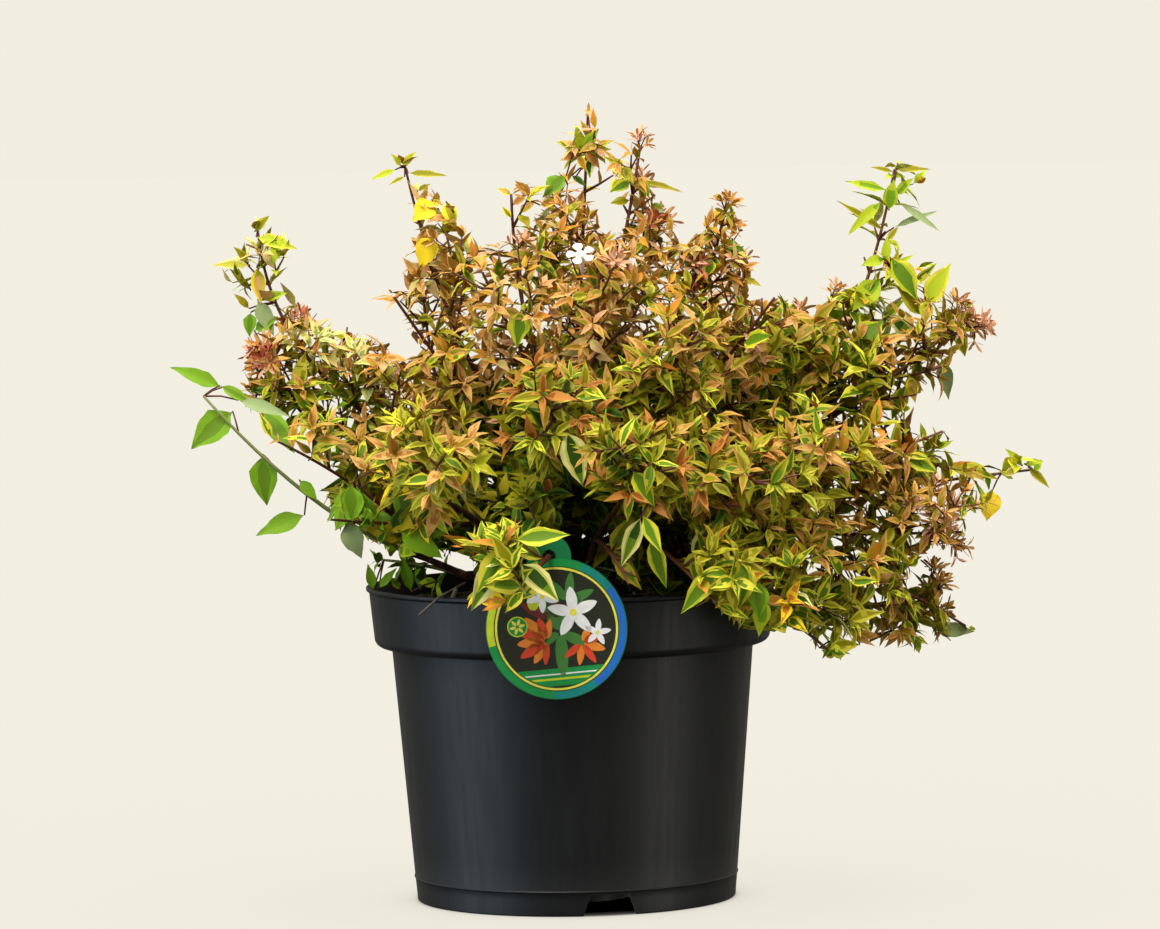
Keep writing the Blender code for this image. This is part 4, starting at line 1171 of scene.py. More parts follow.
def pot_cutters():
    """The notches in the foot and the drains in the floor, as one object."""
    bm = bmesh.new()
    slope = (NOTCH_BOTTOM_WIDTH - NOTCH_TOP_WIDTH) / NOTCH_HEIGHT
    below = 5.0 * MM
    for number in range(NOTCH_COUNT):
        turn = Matrix.Rotation(math.radians(NOTCH_TURN + number * 360.0 / NOTCH_COUNT), 4, "Z")
        for vertex in bmesh.ops.create_cube(bm, size=1.0)["verts"]:
            top = vertex.co.z > 0
            half = NOTCH_TOP_WIDTH / 2 if top else (NOTCH_BOTTOM_WIDTH + slope * below) / 2
            vertex.co.x = FOOT_RADIUS + math.copysign(NOTCH_DEPTH / 2, vertex.co.x)
            vertex.co.y = math.copysign(half, vertex.co.y)
            vertex.co.z = NOTCH_HEIGHT if top else -below
            vertex.co = turn @ vertex.co
    for number in range(DRAIN_COUNT):
        turn = math.radians((number + 0.5) * 360.0 / DRAIN_COUNT)
        place = Vector((math.cos(turn), math.sin(turn), 0.0)) * DRAIN_CIRCLE
        place.z = FLOOR_LIFT + WALL / 2
        bmesh.ops.create_cone(bm, cap_ends=True, segments=24, radius1=DRAIN_RADIUS,
                              radius2=DRAIN_RADIUS, depth=6 * WALL,
                              matrix=Matrix.Translation(place))
    return put("pot_cutters", mesh_of(bm, "pot_cutters"))


def pot_material():
    """Satin black plastic with fine upright flow lines and a little dust."""
    material, tree, shader = principled("pot_plastic", (0.004, 0.004, 0.005), 0.45, 0.30)
    lines = noise_field(tree, 260.0, (1.0, 1.0, 0.03), 2.0)
    dust = noise_field(tree, 26.0, (1.0, 1.0, 0.35), 5.0, 0.6)
    colour = ramp(tree, dust, (0.3, (0.0050, 0.0054, 0.0060)), (0.8, (0.012, 0.013, 0.0142)))
    link(tree, colour, shader.inputs["Base Color"])
    shine = ramp(tree, lines, (0.3, (0.40, 0.40, 0.40)), (0.7, (0.52, 0.52, 0.52)))
    link(tree, shine, shader.inputs["Roughness"])
    bump(tree, shader, lines, 0.05 * MM, 0.5)
    return material


def add_pot():
    shell = put("pot_shell", lathe("pot_shell", pot_profile(), POT_STEPS))
    cutters = pot_cutters()
    cut = shell.modifiers.new("notches_and_drains", "BOOLEAN")
    cut.operation = "DIFFERENCE"
    cut.object = cutters
    carved = taken_from(shell, cutters)
    carved.materials.clear()
    carved.materials.append(pot_material())
    carved.shade_smooth()
    carved.set_sharp_from_angle(angle=POT_SHARP)
    add_piece("nursery_pot", carved, "pot_plastic", "pot")


# Compost

def soil_material(name, dark, pale):
    """Matt grain between two tones."""
    material, tree, shader = principled(name, dark, 0.92, 0.2)
    grain = noise_field(tree, 420.0, detail=4.0, roughness=0.65)
    link(tree, ramp(tree, grain, (0.3, dark), (0.75, pale)), shader.inputs["Base Color"])
    bump(tree, shader, grain, 0.6 * MM, 0.8)
    return material


def soil_height(x, y):
    """The lumpy surface of the compost."""
    lumps = noise.fractal(Vector((x, y, 0.0)) * 70.0, 1.0, 2.0, 4) * 2.2 * MM
    bowl = 1.5 * MM * (math.hypot(x, y) / COLLAR_BOTTOM_RADIUS) ** 2
    return SOIL_LEVEL + bowl + lumps


def soil_mesh():
    """A lumpy disc with a short wall that goes down beside the pot."""
    rings, sides = SOIL_MESH
    outer = COLLAR_BOTTOM_RADIUS - WALL - GAP
    floor = COLLAR_BOTTOM + 3 * MM
    turns = [2 * math.pi * k / sides for k in range(sides)]
    circle = [(math.cos(turn), math.sin(turn)) for turn in turns]
    points = [(0.0, 0.0, soil_height(0.0, 0.0))]
    for ring in range(1, rings + 1):
        reach = outer * ring / rings
        points += [(reach * x, reach * y, soil_height(reach * x, reach * y)) for x, y in circle]
    points += [(outer * x, outer * y, floor) for x, y in circle] + [(0.0, 0.0, floor)]
    heap = Heap()
    heap.add(np.array(points), ring_faces(rings + 1, sides) + 1, 0)
    last = 1 + rings * sides
    heap.add_faces(fan(1, 0, sides), 0, 0)
    heap.add_faces(fan(last, last + sides, sides, turned=True), 0, 0)
    soil = soil_material("compost", (0.016, 0.010, 0.007), (0.075, 0.045, 0.028))
    return heap.mesh("compost_bed", [soil])


# Kinds of crumb: name, dark and pale tone, share up to this kind, size in mm, spans of its shape
CRUMB_KINDS = (
    ("peat_crumb", (0.018, 0.011, 0.008), (0.06, 0.035, 0.022), 0.62, (0.9, 2.4),
     ((0.8, 1.3), (0.8, 1.3), (0.6, 1.0))),
    ("bark_chip", (0.045, 0.024, 0.014), (0.13, 0.075, 0.045), 0.93, (1.6, 3.2),
     ((1.2, 2.2), (0.5, 0.9), (0.25, 0.45))),
    ("pale_grain", (0.30, 0.28, 0.25), (0.55, 0.53, 0.48), 1.0, (0.6, 1.2), ()),
)
ROUND_GRAIN = (1.0, 1.0, 0.9)


def add_crumbs(rng):
    """Crumbs of peat, chips of bark and a few pale grains that lie on the compost."""
    bm = bmesh.new()
    bmesh.ops.create_icosphere(bm, subdivisions=1, radius=1.0)
    ball, faces = arrays_of(bm)
    heap = Heap()
    reach = COLLAR_BOTTOM_RADIUS - 6 * MM
    for _ in range(CRUMBS):
        away = reach * math.sqrt(rng.random())
        turn = rng.uniform(0, 2 * math.pi)
        x, y = away * math.cos(turn), away * math.sin(turn)
        if away < CROWN_RADIUS + 2 * MM:
            continue
        pick = rng.random()
        paint = next(number for number, kind in enumerate(CRUMB_KINDS) if pick < kind[3])
        *_, sizes, spans = CRUMB_KINDS[paint]
        size = rng.uniform(*sizes) * MM
        shape = [rng.uniform(*span) for span in spans] or ROUND_GRAIN
        rough = np.array([rng.uniform(0.75, 1.2) for _ in ball])
        body = ball * rough[:, None] * size * np.array(shape)
        spin = Matrix.Rotation(rng.uniform(0, 6.28), 3, "Z")
        spin = spin @ Matrix.Rotation(rng.uniform(-0.5, 0.5), 3, "X")
        place = np.array((x, y, soil_height(x, y) + 0.3 * size))
        heap.add(body @ np.array(spin).T + place, faces, paint)
    soils = [soil_material(*kind[:3]) for kind in CRUMB_KINDS]
    add_piece("compost_crumbs", heap.mesh("compost_crumbs", soils, smooth=False), "compost")


# Label

def label_place():
    """World matrix of the label: its face looks out from the lip that it rests on."""
    stand_off = LIP_RADIUS + GAP + LABEL_THICKNESS / 2
    turn = math.asin(LABEL_CENTRE_X / stand_off)
    centre = Vector((LABEL_CENTRE_X, -stand_off * math.cos(turn), LABEL_CENTRE_Z))
    upright = Matrix.Rotation(math.radians(90.0), 4, "X")
    lean = Matrix.Rotation(math.radians(LABEL_LEAN), 4, "Z")
    return Matrix.Translation(centre) @ Matrix.Rotation(turn, 4, "Z") @ upright @ lean


def label_outline(step):
    """Points round the disc and its head, two circles that cross."""
    rise = LABEL_HEAD_RISE ** 2 + LABEL_RADIUS ** 2 - LABEL_HEAD_RADIUS ** 2
    rise /= 2 * LABEL_HEAD_RISE
    disc_side = math.degrees(math.acos(rise / LABEL_RADIUS))
    head_side = math.degrees(math.asin((rise - LABEL_HEAD_RISE) / LABEL_HEAD_RADIUS))
    disc_steps = round((360.0 - 2 * disc_side) / step)
    head_steps = round((180.0 - 2 * head_side) / (2 * step))
    main = arc((0.0, 0.0), LABEL_RADIUS, 90.0 + disc_side, 450.0 - disc_side, disc_steps)
    head = arc((0.0, LABEL_HEAD_RISE), LABEL_HEAD_RADIUS, head_side, 180.0 - head_side, head_steps)
    return main + head[1:-1]


def flat_shape(name, outlines, thickness, bevel=0.0):
    """A mesh of a flat outline with its holes, thickness deep and lying on z = 0 to +."""
    curve = bpy.data.curves.new(name, "CURVE")
    curve.dimensions = "2D"
    curve.fill_mode = "BOTH"
    curve.extrude = thickness / 2 - bevel
    curve.bevel_depth = bevel
    curve.bevel_resolution = 1
    curve.offset = -bevel
    for outline in outlines:
        spline = curve.splines.new("POLY")
        spline.points.add(len(outline) - 1)
        for target, (right, up) in zip(spline.points, outline):
            target.co = (right, up, 0.0, 1.0)
        spline.use_cyclic_u = True
    mesh = taken_from(put(name, curve))
    bm = bmesh.new()
    bm.from_mesh(mesh)
    bmesh.ops.remove_doubles(bm, verts=bm.verts, dist=0.01 * MM)
    bmesh.ops.recalc_face_normals(bm, faces=bm.faces)
    bm.to_mesh(mesh)
    bm.free()
    mesh.transform(Matrix.Translation((0.0, 0.0, thickness / 2)))
    return mesh


def petal(length, width, turn, start=0.0):
    """Outline of a petal or leaf from the origin along turn degrees."""
    steps = 14
    shares = [k / steps for k in range(steps + 1)]
    side = [(start + length * t, width / 2 * math.sin(math.pi * t ** 0.8) ** (1.0 / PETAL_POINT))
            for t in shares]
    outline = side + [(along, -out) for along, out in reversed(side[1:-1])]
    c, s = math.cos(math.radians(turn)), math.sin(math.radians(turn))
    return [(along * c - out * s, along * s + out * c) for along, out in outline]


def moved(outline, place):
    """An outline moved by a place in mm."""
    return [(x + place[0] * MM, y + place[1] * MM) for x, y in outline]


def disc(radius, sides, centre=(0.0, 0.0)):
    """Outline of a disc."""
    return arc(centre, radius, 0.0, 360.0 - 360.0 / sides, sides - 1)


def ring_part(inner, outer, start, end):
    """Outline of a part of a ring between two angles in degrees."""
    steps = max(4, round(abs(end - start) / 4))
    return arc((0, 0), outer, start, end, steps) + arc((0, 0), inner, end, start, steps)


PETAL_POINT = 1.6             # how pointed petals are
PRINT_COLOURS = {
    "print_field": (40, 44, 30),
    "print_blue": (34, 112, 204),
    "print_teal": (16, 146, 136),
    "print_green": (22, 156, 72),
    "print_lime": (214, 226, 44),
    "print_yellow": (250, 238, 88),
    "print_white": (255, 254, 250),
    "print_red": (232, 74, 40),
    "print_orange": (248, 142, 48),
    "print_maroon": (118, 40, 36),
    "print_leaf": (74, 136, 58),
}
PRINT_LAYER = 0.06 * MM       # thickness of one layer
RIM_WIDTH = 4.6 * MM
PLATE_STEP = 4.0              # degrees between points of the plate's outline
PLATE_BEVEL = 0.12 * MM
PLATE_COLOUR = (18, 132, 76)
# Parts of the printed rim: paint, from and to which turn in degrees
LABEL_RIM = (("print_lime", 100, 190), ("print_green", 190, 262), ("print_teal", 262, 300),
             ("print_blue", 300, 392), ("print_teal", 32, 62), ("print_green", 62, 100))
# Bands across the picture: paint, gap to the rim in mm, heights in mm, layer
LABEL_BANDS = (("print_green", 2.0, -31.0, -21.5, 2), ("print_white", 2.6, -25.0, -24.2, 3),
               ("print_lime", 2.6, -27.8, -26.6, 3))
BADGE_PLACE = (-21, 3)        # of its round badge, (right, up) in mm from its middle
# Flowers of the picture: size, place (right, up) in mm from its middle, turn in degrees
LABEL_FLOWERS = ((0.95, (10, 8), 20), (0.6, (-6, 18), 50), (0.5, (22, -4), 5))
# Leaves of the picture: paint, place in mm, then length and width in mm and turn in degrees of each
LABEL_SPRAYS = (
    ("print_leaf", (2, -2), ((22, 7, 60), (20, 7, 110), (19, 6, 330), (24, 7, 268), (20, 6, 205))),
    ("print_leaf", (8, 14), ((15, 5, 80), (14, 5, 20), (16, 5, 128), (12, 4, 345))),
    ("print_maroon", (-2, 6), ((18, 6, 150), (16, 6, 82), (14, 5, 30), (20, 6, 240))),
    ("print_orange", (-6, -6), ((16, 6, 128), (15, 6, 182), (13, 5, 236), (11, 4, 75))),
    ("print_red", (-6, -6), ((17, 6, 155), (16, 6, 208), (12, 5, 104), (12, 4, 262))),
    ("print_red", (13, -9), ((12, 5, 20), (12, 4, 300), (11, 4, 215))),
    ("print_orange", (13, -9), ((12, 5, 340), (11, 4, 258), (9, 4, 60))),
    ("print_lime", (-12, 10), ((8, 3, 100), (7, 3, 60))),
)


def label_prints():
    """Layers of the printed face: (paint, outlines, layer number), all generic ornament."""
    inner = LABEL_RADIUS - RIM_WIDTH
    edge = LABEL_RADIUS - 0.5 * MM
    prints = [("print_field", [disc(inner, 60)], 1)]
    prints += [(paint, [ring_part(inner + 0.3 * MM, edge, start, end)], 1)
               for paint, start, end in LABEL_RIM]
    prints.append(("print_yellow", [disc(inner - 0.4 * MM, 60), disc(inner - 1.6 * MM, 60)], 2))
    prints += [(paint, [band_outline(inner - gap * MM, low, high)], layer)
               for paint, gap, low, high, layer in LABEL_BANDS]
    for paint, place, leaves in LABEL_SPRAYS:
        layer = 3 if paint in ("print_leaf", "print_maroon") else 4
        prints += [(paint, [moved(petal(length * MM, width * MM, turn, 1.2 * MM), place)], layer)
                   for length, width, turn in leaves]
    for size, place, turn in LABEL_FLOWERS:
        for number in range(5):
            leaf = petal(14 * size * MM, 6.4 * size * MM, 72 * number + turn, 1.0 * size * MM)
            prints.append(("print_white", [moved(leaf, place)], 5))
        prints.append(("print_yellow", [moved(disc(2.1 * size * MM, 24), place)], 6))
    prints.append(("print_lime", [moved(disc(5.6 * MM, 45), BADGE_PLACE)], 5))
    prints.append(("print_green", [moved(disc(4.9 * MM, 45), BADGE_PLACE)], 6))
    prints += [("print_yellow",
                [moved(petal(3.6 * MM, 1.7 * MM, 60 * number + 10, 0.8 * MM), BADGE_PLACE)], 7)
               for number in range(6)]
    return prints


def band_outline(radius, low, high):
    """The part of a disc between two heights in mm."""
    low, high = low * MM, high * MM
    a = math.degrees(math.asin(max(-1.0, low / radius)))
    b = math.degrees(math.asin(high / radius))
    return arc((0, 0), radius, a, b, 8) + arc((0, 0), radius, 180 - b, 180 - a, 8)


def print_material(name, colour):
    """Glossy print that is a little uneven."""
    tone = linear(colour)
    material, tree, shader = principled(name, tone, 0.3, 0.5)
    shade = noise_field(tree, 240.0, detail=2.0)
    dark = tuple(part * 0.88 for part in tone)
    link(tree, ramp(tree, shade, (0.35, dark), (0.65, tone)), shader.inputs["Base Color"])
    return material


def add_label():
    place = label_place()
    hole = disc(LABEL_HOLE_RADIUS, 24, (0.0, LABEL_HEAD_RISE))
    outlines = [label_outline(PLATE_STEP), hole]
    back = flat_shape("label_plate", outlines, LABEL_THICKNESS, PLATE_BEVEL)
    back.transform(place @ Matrix.Translation((0.0, 0.0, -LABEL_THICKNESS / 2)))
    back.materials.clear()
    back.materials.append(print_material("label_plastic", PLATE_COLOUR))
    add_piece("label_plate", back, "label_print", "picture_label")
    paints = list(PRINT_COLOURS)
    heap = Heap()
    for paint, outlines, layer in label_prints():
        mesh = flat_shape("print", outlines, PRINT_LAYER * layer)
        mesh.transform(place @ Matrix.Translation((0.0, 0.0, LABEL_THICKNESS / 2)))
        bm = bmesh.new()
        bm.from_mesh(mesh)
        bmesh.ops.triangulate(bm, faces=bm.faces)
        heap.add(*arrays_of(bm), paints.index(paint))
    materials = [print_material(name, colour) for name, colour in PRINT_COLOURS.items()]
    add_piece("label_picture", heap.mesh("label_picture", materials, smooth=False), "label_print")


# Root crown and boughs

def crown_point(turn, lift):
    """Place and outward direction on the root crown, from two angles in degrees."""
    turn, lift = math.radians(turn), math.radians(lift)
    out = Vector((math.cos(turn), math.sin(turn), 0.0))
    place = out * CROWN_RADIUS * math.cos(lift)
    place.z = SOIL_LEVEL + GAP + CROWN_HEIGHT * math.sin(lift)
    normal = out * math.cos(lift) / CROWN_RADIUS
    normal.z = math.sin(lift) / CROWN_HEIGHT
    return place, normal.normalized()


def bezier(controls, t):
    """Point and direction at t on the Bezier curve of the control points."""
    points = [control.copy() for control in controls]
    while len(points) > 2:
        points = [first.lerp(second, t) for first, second in zip(points, points[1:])]
    return points[0].lerp(points[1], t), (points[1] - points[0]).normalized()


def bough_controls(name):
    """Control points of a bough, from the root crown to its tip."""
    tip, _, (turn, lift), rise = BOUGHS[name]
    start, normal = crown_point(turn, lift)
    start += normal * BOUGH_ROOT_GAP
    tip = Vector(tip) * MM
    heading = Vector((tip.x, tip.y, 0.0)).normalized()
    heading.z = rise
    if name == LABEL_BOUGH:
        place = label_place()
        heading = place.to_3x3() @ UP
        tip = place @ Vector((0.0, LABEL_HEAD_RISE, 0.0)) + heading * LABEL_BOUGH_PAST
    lead = BOUGH_LEAD * (tip - start).length
    return [start, start + normal * lead, tip - heading.normalized() * lead, tip]


def bough_line(name, points=BOUGH_POINTS):
    controls = bough_controls(name)
    return [bezier(controls, k / (points - 1))[0] for k in range(points)]


def point_on(line, t):
    """Point and direction at the share t of a line of points."""
    k = min(int(t * (len(line) - 1)), len(line) - 2)
    along = line[k + 1] - line[k]
    return line[k] + along * (t * (len(line) - 1) - k), along.normalized()


def bough_radius(name, t):
    foot, tip = BOUGHS[name][1]
    return (foot + (tip - foot) * t) * MM


def bark_material():
    """Red-brown bark with paler strips that peel along the limb."""
    material, tree, shader = principled("bark", (0.10, 0.05, 0.035), 0.75, 0.3)
    strips = noise_field(tree, 300.0, (1.0, 1.0, 0.12), 4.0, 0.6)
    patches = noise_field(tree, 60.0, detail=3.0)
    tone = ramp(tree, strips, (0.30, (0.032, 0.012, 0.009)), (0.52, (0.090, 0.034, 0.022)),
                (0.74, (0.20, 0.12, 0.085)))
    shade = ramp(tree, patches, (0.3, (0.45, 0.42, 0.40)), (0.7, (1.0, 1.0, 1.0)))
    mix = add_node(tree, "Mix", {0: 0.5, 6: tone, 7: shade}, data_type="RGBA",
                   blend_type="MULTIPLY")
    link(tree, mix.outputs[2], shader.inputs["Base Color"])
    bump(tree, shader, strips, 0.4 * MM, 0.8)
    return material


def bark_relief(name, rings, sides, depth):
    """How far each point of a limb stands out: fissures along it and knots where buds sat."""
    rng = random.Random(f"{SEED} bark {name}")
    shift = rng.uniform(0, 50)
    turns = 2 * math.pi * np.arange(sides) / sides
    relief = np.ones((rings, sides))
    for ring in range(rings):
        for k, turn in enumerate(turns):
            place = Vector((math.cos(turn) * 1.6, math.sin(turn) * 1.6, ring * 0.22 + shift))
            relief[ring, k] += depth * noise.fractal(place, 1.0, 2.0, 3)
    for knot in range(5, rings - 3, 9):
        side = rng.uniform(0, 2 * math.pi)
        for ring in range(knot - 1, knot + 2):
            swell = 0.16 if ring == knot else 0.07
            relief[ring] += swell * (1.0 + 0.8 * np.cos(turns - side))
    return relief


BOUGH_RINGS = 54
BOUGH_SIDES = 14


def add_boughs(material):
    for name in BOUGHS:
        heap = Heap()
        line = [p[:] for p in bough_line(name, BOUGH_RINGS)]
        t = np.linspace(0.0, 1.0, BOUGH_RINGS)
        radii = np.array([bough_radius(name, k) for k in t])
        radii *= 1.0 + 0.35 * np.exp(-t * 14)
        radii[-6:] *= np.linspace(1.0, 0.82, 6)
        relief = bark_relief(name, BOUGH_RINGS, BOUGH_SIDES, 0.16)
        tube(heap, line, radii * 0.93, BOUGH_SIDES, 0, relief)
        add_piece(f"{name}_bark", heap.mesh(f"{name}_bark", [material]), "bark", name)


def add_root_crown(material):
    """The knobbly foot of the shrub, swollen where each bough leaves it."""
    rings, sides = CROWN_MESH
    foot = SOIL_LEVEL - 3 * MM
    starts = [crown_point(*BOUGHS[name][2])[0] for name in BOUGHS]
    points = []
    for ring in range(rings):
        lift = math.radians(88.0 * ring / (rings - 1))
        for k in range(sides):
            turn = 2 * math.pi * k / sides
            out = Vector((math.cos(turn) * math.cos(lift), math.sin(turn) * math.cos(lift), 0.0))
            place = out * CROWN_RADIUS
            place.z = foot + (CROWN_HEIGHT + 3 * MM) * math.sin(lift)
            near = min((place - start).length for start in starts)
            swell = 2.2 * MM * math.exp(-(near / (4.5 * MM)) ** 2)
            rough = 1.1 * MM * noise.fractal(place * 140.0, 1.0, 2.0, 4)
            spot = Vector((math.cos(turn) * 9, math.sin(turn) * 9, place.z * 60))
            strip = 0.5 * MM * noise.noise(spot)
            normal = out / CROWN_RADIUS
            normal.z = math.sin(lift) / CROWN_HEIGHT
            points.append((place + normal.normalized() * (swell + rough + strip - 0.6 * MM))[:])
    top = len(points)
    points += [(0.0, 0.0, SOIL_LEVEL + CROWN_HEIGHT), (0.0, 0.0, foot)]
    heap = Heap()
    heap.add(np.array(points), ring_faces(rings, sides), 0)
    heap.add_faces(fan(top - sides, top, sides), 0, 0)
    heap.add_faces(fan(0, top + 1, sides, turned=True), 0, 0)
    add_piece("root_crown_bark", heap.mesh("root_crown_bark", [material]), "bark", "root_crown")


# The rule that the masses grow by

def across(direction, turn):
    """A unit vector square to a direction, turned round it by degrees."""
    helper = UP if abs(direction.z) < 0.9 else Vector((1.0, 0.0, 0.0))
    side = direction.cross(helper).normalized()
    return Matrix.Rotation(math.radians(turn), 3, direction) @ side


def stem_start(name):
    """Foot and heading of a mass's stem just clear of its bough."""
    bough, place, tip, _, _ = MASSES[name]
    point, along = point_on(bough_line(bough), place)
    if place == 1.0:
        return point + along * GAP, along
    heading = ((Vector(tip) * MM - point).normalized() + UP * STEM_BOW).normalized()
    angle = heading.angle(along)
    if angle < FORK_ANGLE:
        heading = Matrix.Rotation(FORK_ANGLE - angle, 3, along.cross(heading)) @ heading
        angle = FORK_ANGLE
    flat_side = STEM_RADIUS * math.cos(math.pi / 3)
    clear = FACET_SHARE * bough_radius(bough, place) + GAP + flat_side * abs(math.cos(angle))
    return point + heading * clear / math.sin(angle), heading


TIP_CLUSTER = 6.0 * MM        # the stem stops this far short of the mass's tip
HEAD_CLUSTER = 16.0 * MM      # the same under a head of calyxes
RUNNER = "green_runner"       # its leaves have places of their own
RUNNER_END = 25.0 * MM        # its stem stops this far short of its tip


def stem_controls(name):
    """Control points of a mass's stem, from its foot to its cluster of tip leaves."""
    foot, heading = stem_start(name)
    tip = Vector(MASSES[name][2]) * MM
    lead = foot + heading * (tip - foot).length * LONG_LEADS.get(name, STEM_LEAD)
    short = HEAD_CLUSTER if CALYX_SHARES.get(name) == 1.0 else TIP_CLUSTER
    if name == RUNNER:
        short = RUNNER_END
    return [foot, lead, tip - (tip - lead).normalized() * short]


# Boxes that stay open: lowest and highest corner (right, back, up) in mm
WINDOWS = (((-5, -260, 150), (24, -55, 230)), ((38, -260, 150), (64, -60, 214)),
           ((94, -200, 316), (110, 60, 326)), ((186, -200, 171), (193, 60, 185)),
           ((20, -200, 372), (31, 200, 400)), ((-90, -60, 320), (-72, 60, 334)))
CELL = 6 * MM                 # of the grid that leaves are looked up in

# The crown's outline as it is seen from the front on the plane through the middle of the pot,
# (right, up) in mm, and the masses that grow past it
OUTLINE = np.array("""
-56 192  -96 193  -111 198  -118 207  -137 207  -139 230  -124 236  -150 254  -167 254  -171 273
-184 283  -178 294  -187 307  -179 321  -185 342  -197 359  -182 366  -176 384  -165 385  -149 367
-154 346  -144 333  -121 321  -102 313  -93 300  -80 307  -96 329  -111 334  -102 344  -85 340
-94 353  -88 370  -82 380  -91 392  -93 400  -107 404  -96 417  -85 419  -65 407  -76 404  -67 392
-60 383  -45 366  -30 371  -23 376  -32 386  -27 402  -7 403  0 410  -4 418  -2 429  9 435  13 447
17 446  20 425  30 423  42 423  52 420  46 413  40 406  50 401  50 391  57 383  63 367  65 364
78 373  78 389  88 396  99 385  98 363  106 350  99 332  118 336  137 321  149 337  176 346
165 357  177 370  156 368  154 390  176 404  185 411  204 404  195 387  210 371  186 365  200 352
214 352  217 335  229 329  227 307  215 299  210 270  202 284  189 267  193 253  199 262  217 258
212 243  235 238  245 248  264 240  268 225  243 226  241 213  232 208  220 215  222 193  199 189
183 177  200 180  208 169  205 155  227 146  197 132  167 138  150 130  136 137  125 149  105 147
92 149  78 162  56 154  47 168  23 176  -7 163  -40 155  -60 159  -53 182
""".split(), float).reshape(-1, 2) * MM
BEYOND_OUTLINE = (RUNNER, "rim_sprout")
BOX_MARGIN = 7 * MM           # how far past the object's box a leaf may lie


def distances(point, foot, run):
    """How far a point is from each straight piece, given by its foot and its run."""
    offset = point - foot
    t = np.clip((offset * run).sum(axis=-1) / (run ** 2).sum(axis=-1), 0.0, 1.0)
    return np.linalg.norm(offset - t[..., None] * run, axis=-1)


def hides_label(place):
    """True in front of the part of the label that stays in sight."""
    if place.z < 0 or abs(place.x) > LABEL_RADIUS + 7 * MM:
        return False
    return place.y < (16 * MM if place.x < -4 * MM else 60 * MM)


class Space:
    """Tells where shoots and leaves may go."""

    def __init__(self):
        stems = [stem_controls(name) for name in MASSES]
        lines = np.array([[bezier(stem, k / 4)[0][:] for k in range(5)] for stem in stems])
        self.stems = lines[:, :-1], lines[:, 1:] - lines[:, :-1]
        self.spreads = np.array([MASSES[name][3] * MM for name in MASSES])
        limbs = [bough_line(name, 15) for name in BOUGHS]
        self.limbs = (np.array([point[:] for line in limbs for point in line[:-1]]),
                      np.array([(b - a)[:] for line in limbs for a, b in zip(line, line[1:])]))
        self.limb_radius = np.array([bough_radius(name, k / 14) for name in BOUGHS
                                     for k in range(14)])
        self.label = label_place().inverted()
        self.low = np.array(CAD_BOX[0]) - BOX_MARGIN
        self.high = np.array(CAD_BOX[1]) + BOX_MARGIN
        self.windows = [(np.array(low) * MM, np.array(high) * MM) for low, high in WINDOWS]
        self.edges = OUTLINE, np.roll(OUTLINE, -1, axis=0)
        self.cells = {}

    def is_inside_outline(self, point):
        """True where a point is seen from the front inside the crown's outline."""
        viewer = CAMERA_PLACE
        t = viewer[1] / (viewer[1] - point[1])
        x = viewer[0] + (point[0] - viewer[0]) * t
        z = viewer[2] + (point[2] - viewer[2]) * t
        start, end = self.edges
        spans = (start[:, 1] > z) != (end[:, 1] > z)
        (x0, z0), (x1, z1) = start[spans].T, end[spans].T
        crossing = x0 + (z - z0) * (x1 - x0) / (z1 - z0)
        return int((crossing > x).sum()) % 2 == 1

    def is_own(self, point, number):
        """True where a point lies nearer to its own stem than to any other, for its spread."""
        if number is None:
            return True
        away = distances(point, *self.stems).min(axis=1) / self.spreads
        own = away[number]
        away[number] = np.inf
        return SPACE_SHARE * away.min() >= own

    def is_clear(self, point, margin):
        """True outside limbs, pot, compost and label, and inside the object's box."""
        if (point < self.low).any() or (point > self.high).any():
            return False
        if any((point > low).all() and (point < high).all() for low, high in self.windows):
            return False
        away = math.hypot(point[0], point[1])
        if point[2] < POT_HEIGHT + margin:
            inside = away < COLLAR_BOTTOM_RADIUS - WALL - margin and point[2] > SOIL_LEVEL + 2 * MM
            if not inside and away < LIP_RADIUS + margin:
                return False
        place = self.label @ Vector(point)
        if hides_label(place):
            return False
        on_disc = math.hypot(place.x, place.y) < LABEL_RADIUS + margin
        on_head = math.hypot(place.x, place.y - LABEL_HEAD_RISE) < LABEL_HEAD_RADIUS + margin
        if (on_disc or on_head) and -2 * MM < place.z < 1.3 * MM:
            return False
        return (distances(point, *self.limbs) - self.limb_radius).min() > margin * 0.5

    def side_of_label(self, point):
        """1 in front of the label, -1 behind it and 0 beside it."""
        place = self.label @ Vector(point)
        if math.hypot(place.x, place.y) > LABEL_RADIUS + 2 * MM:
            return 0
        return 1 if place.z > 0 else -1

    def is_crowded(self, point, room):
        """True where the middle of another leaf lies within room."""
        x, y, z = (point / CELL).astype(int)
        steps = (-1, 0, 1)
        cells = ((x + i, y + j, z + k) for i in steps for j in steps for k in steps)
        return any(np.linalg.norm(point - other) < room
                   for cell in cells for other in self.cells.get(cell, ()))

    def take(self, point):
        """Notes the middle of a leaf."""
        self.cells.setdefault(tuple((point / CELL).astype(int)), []).append(point)


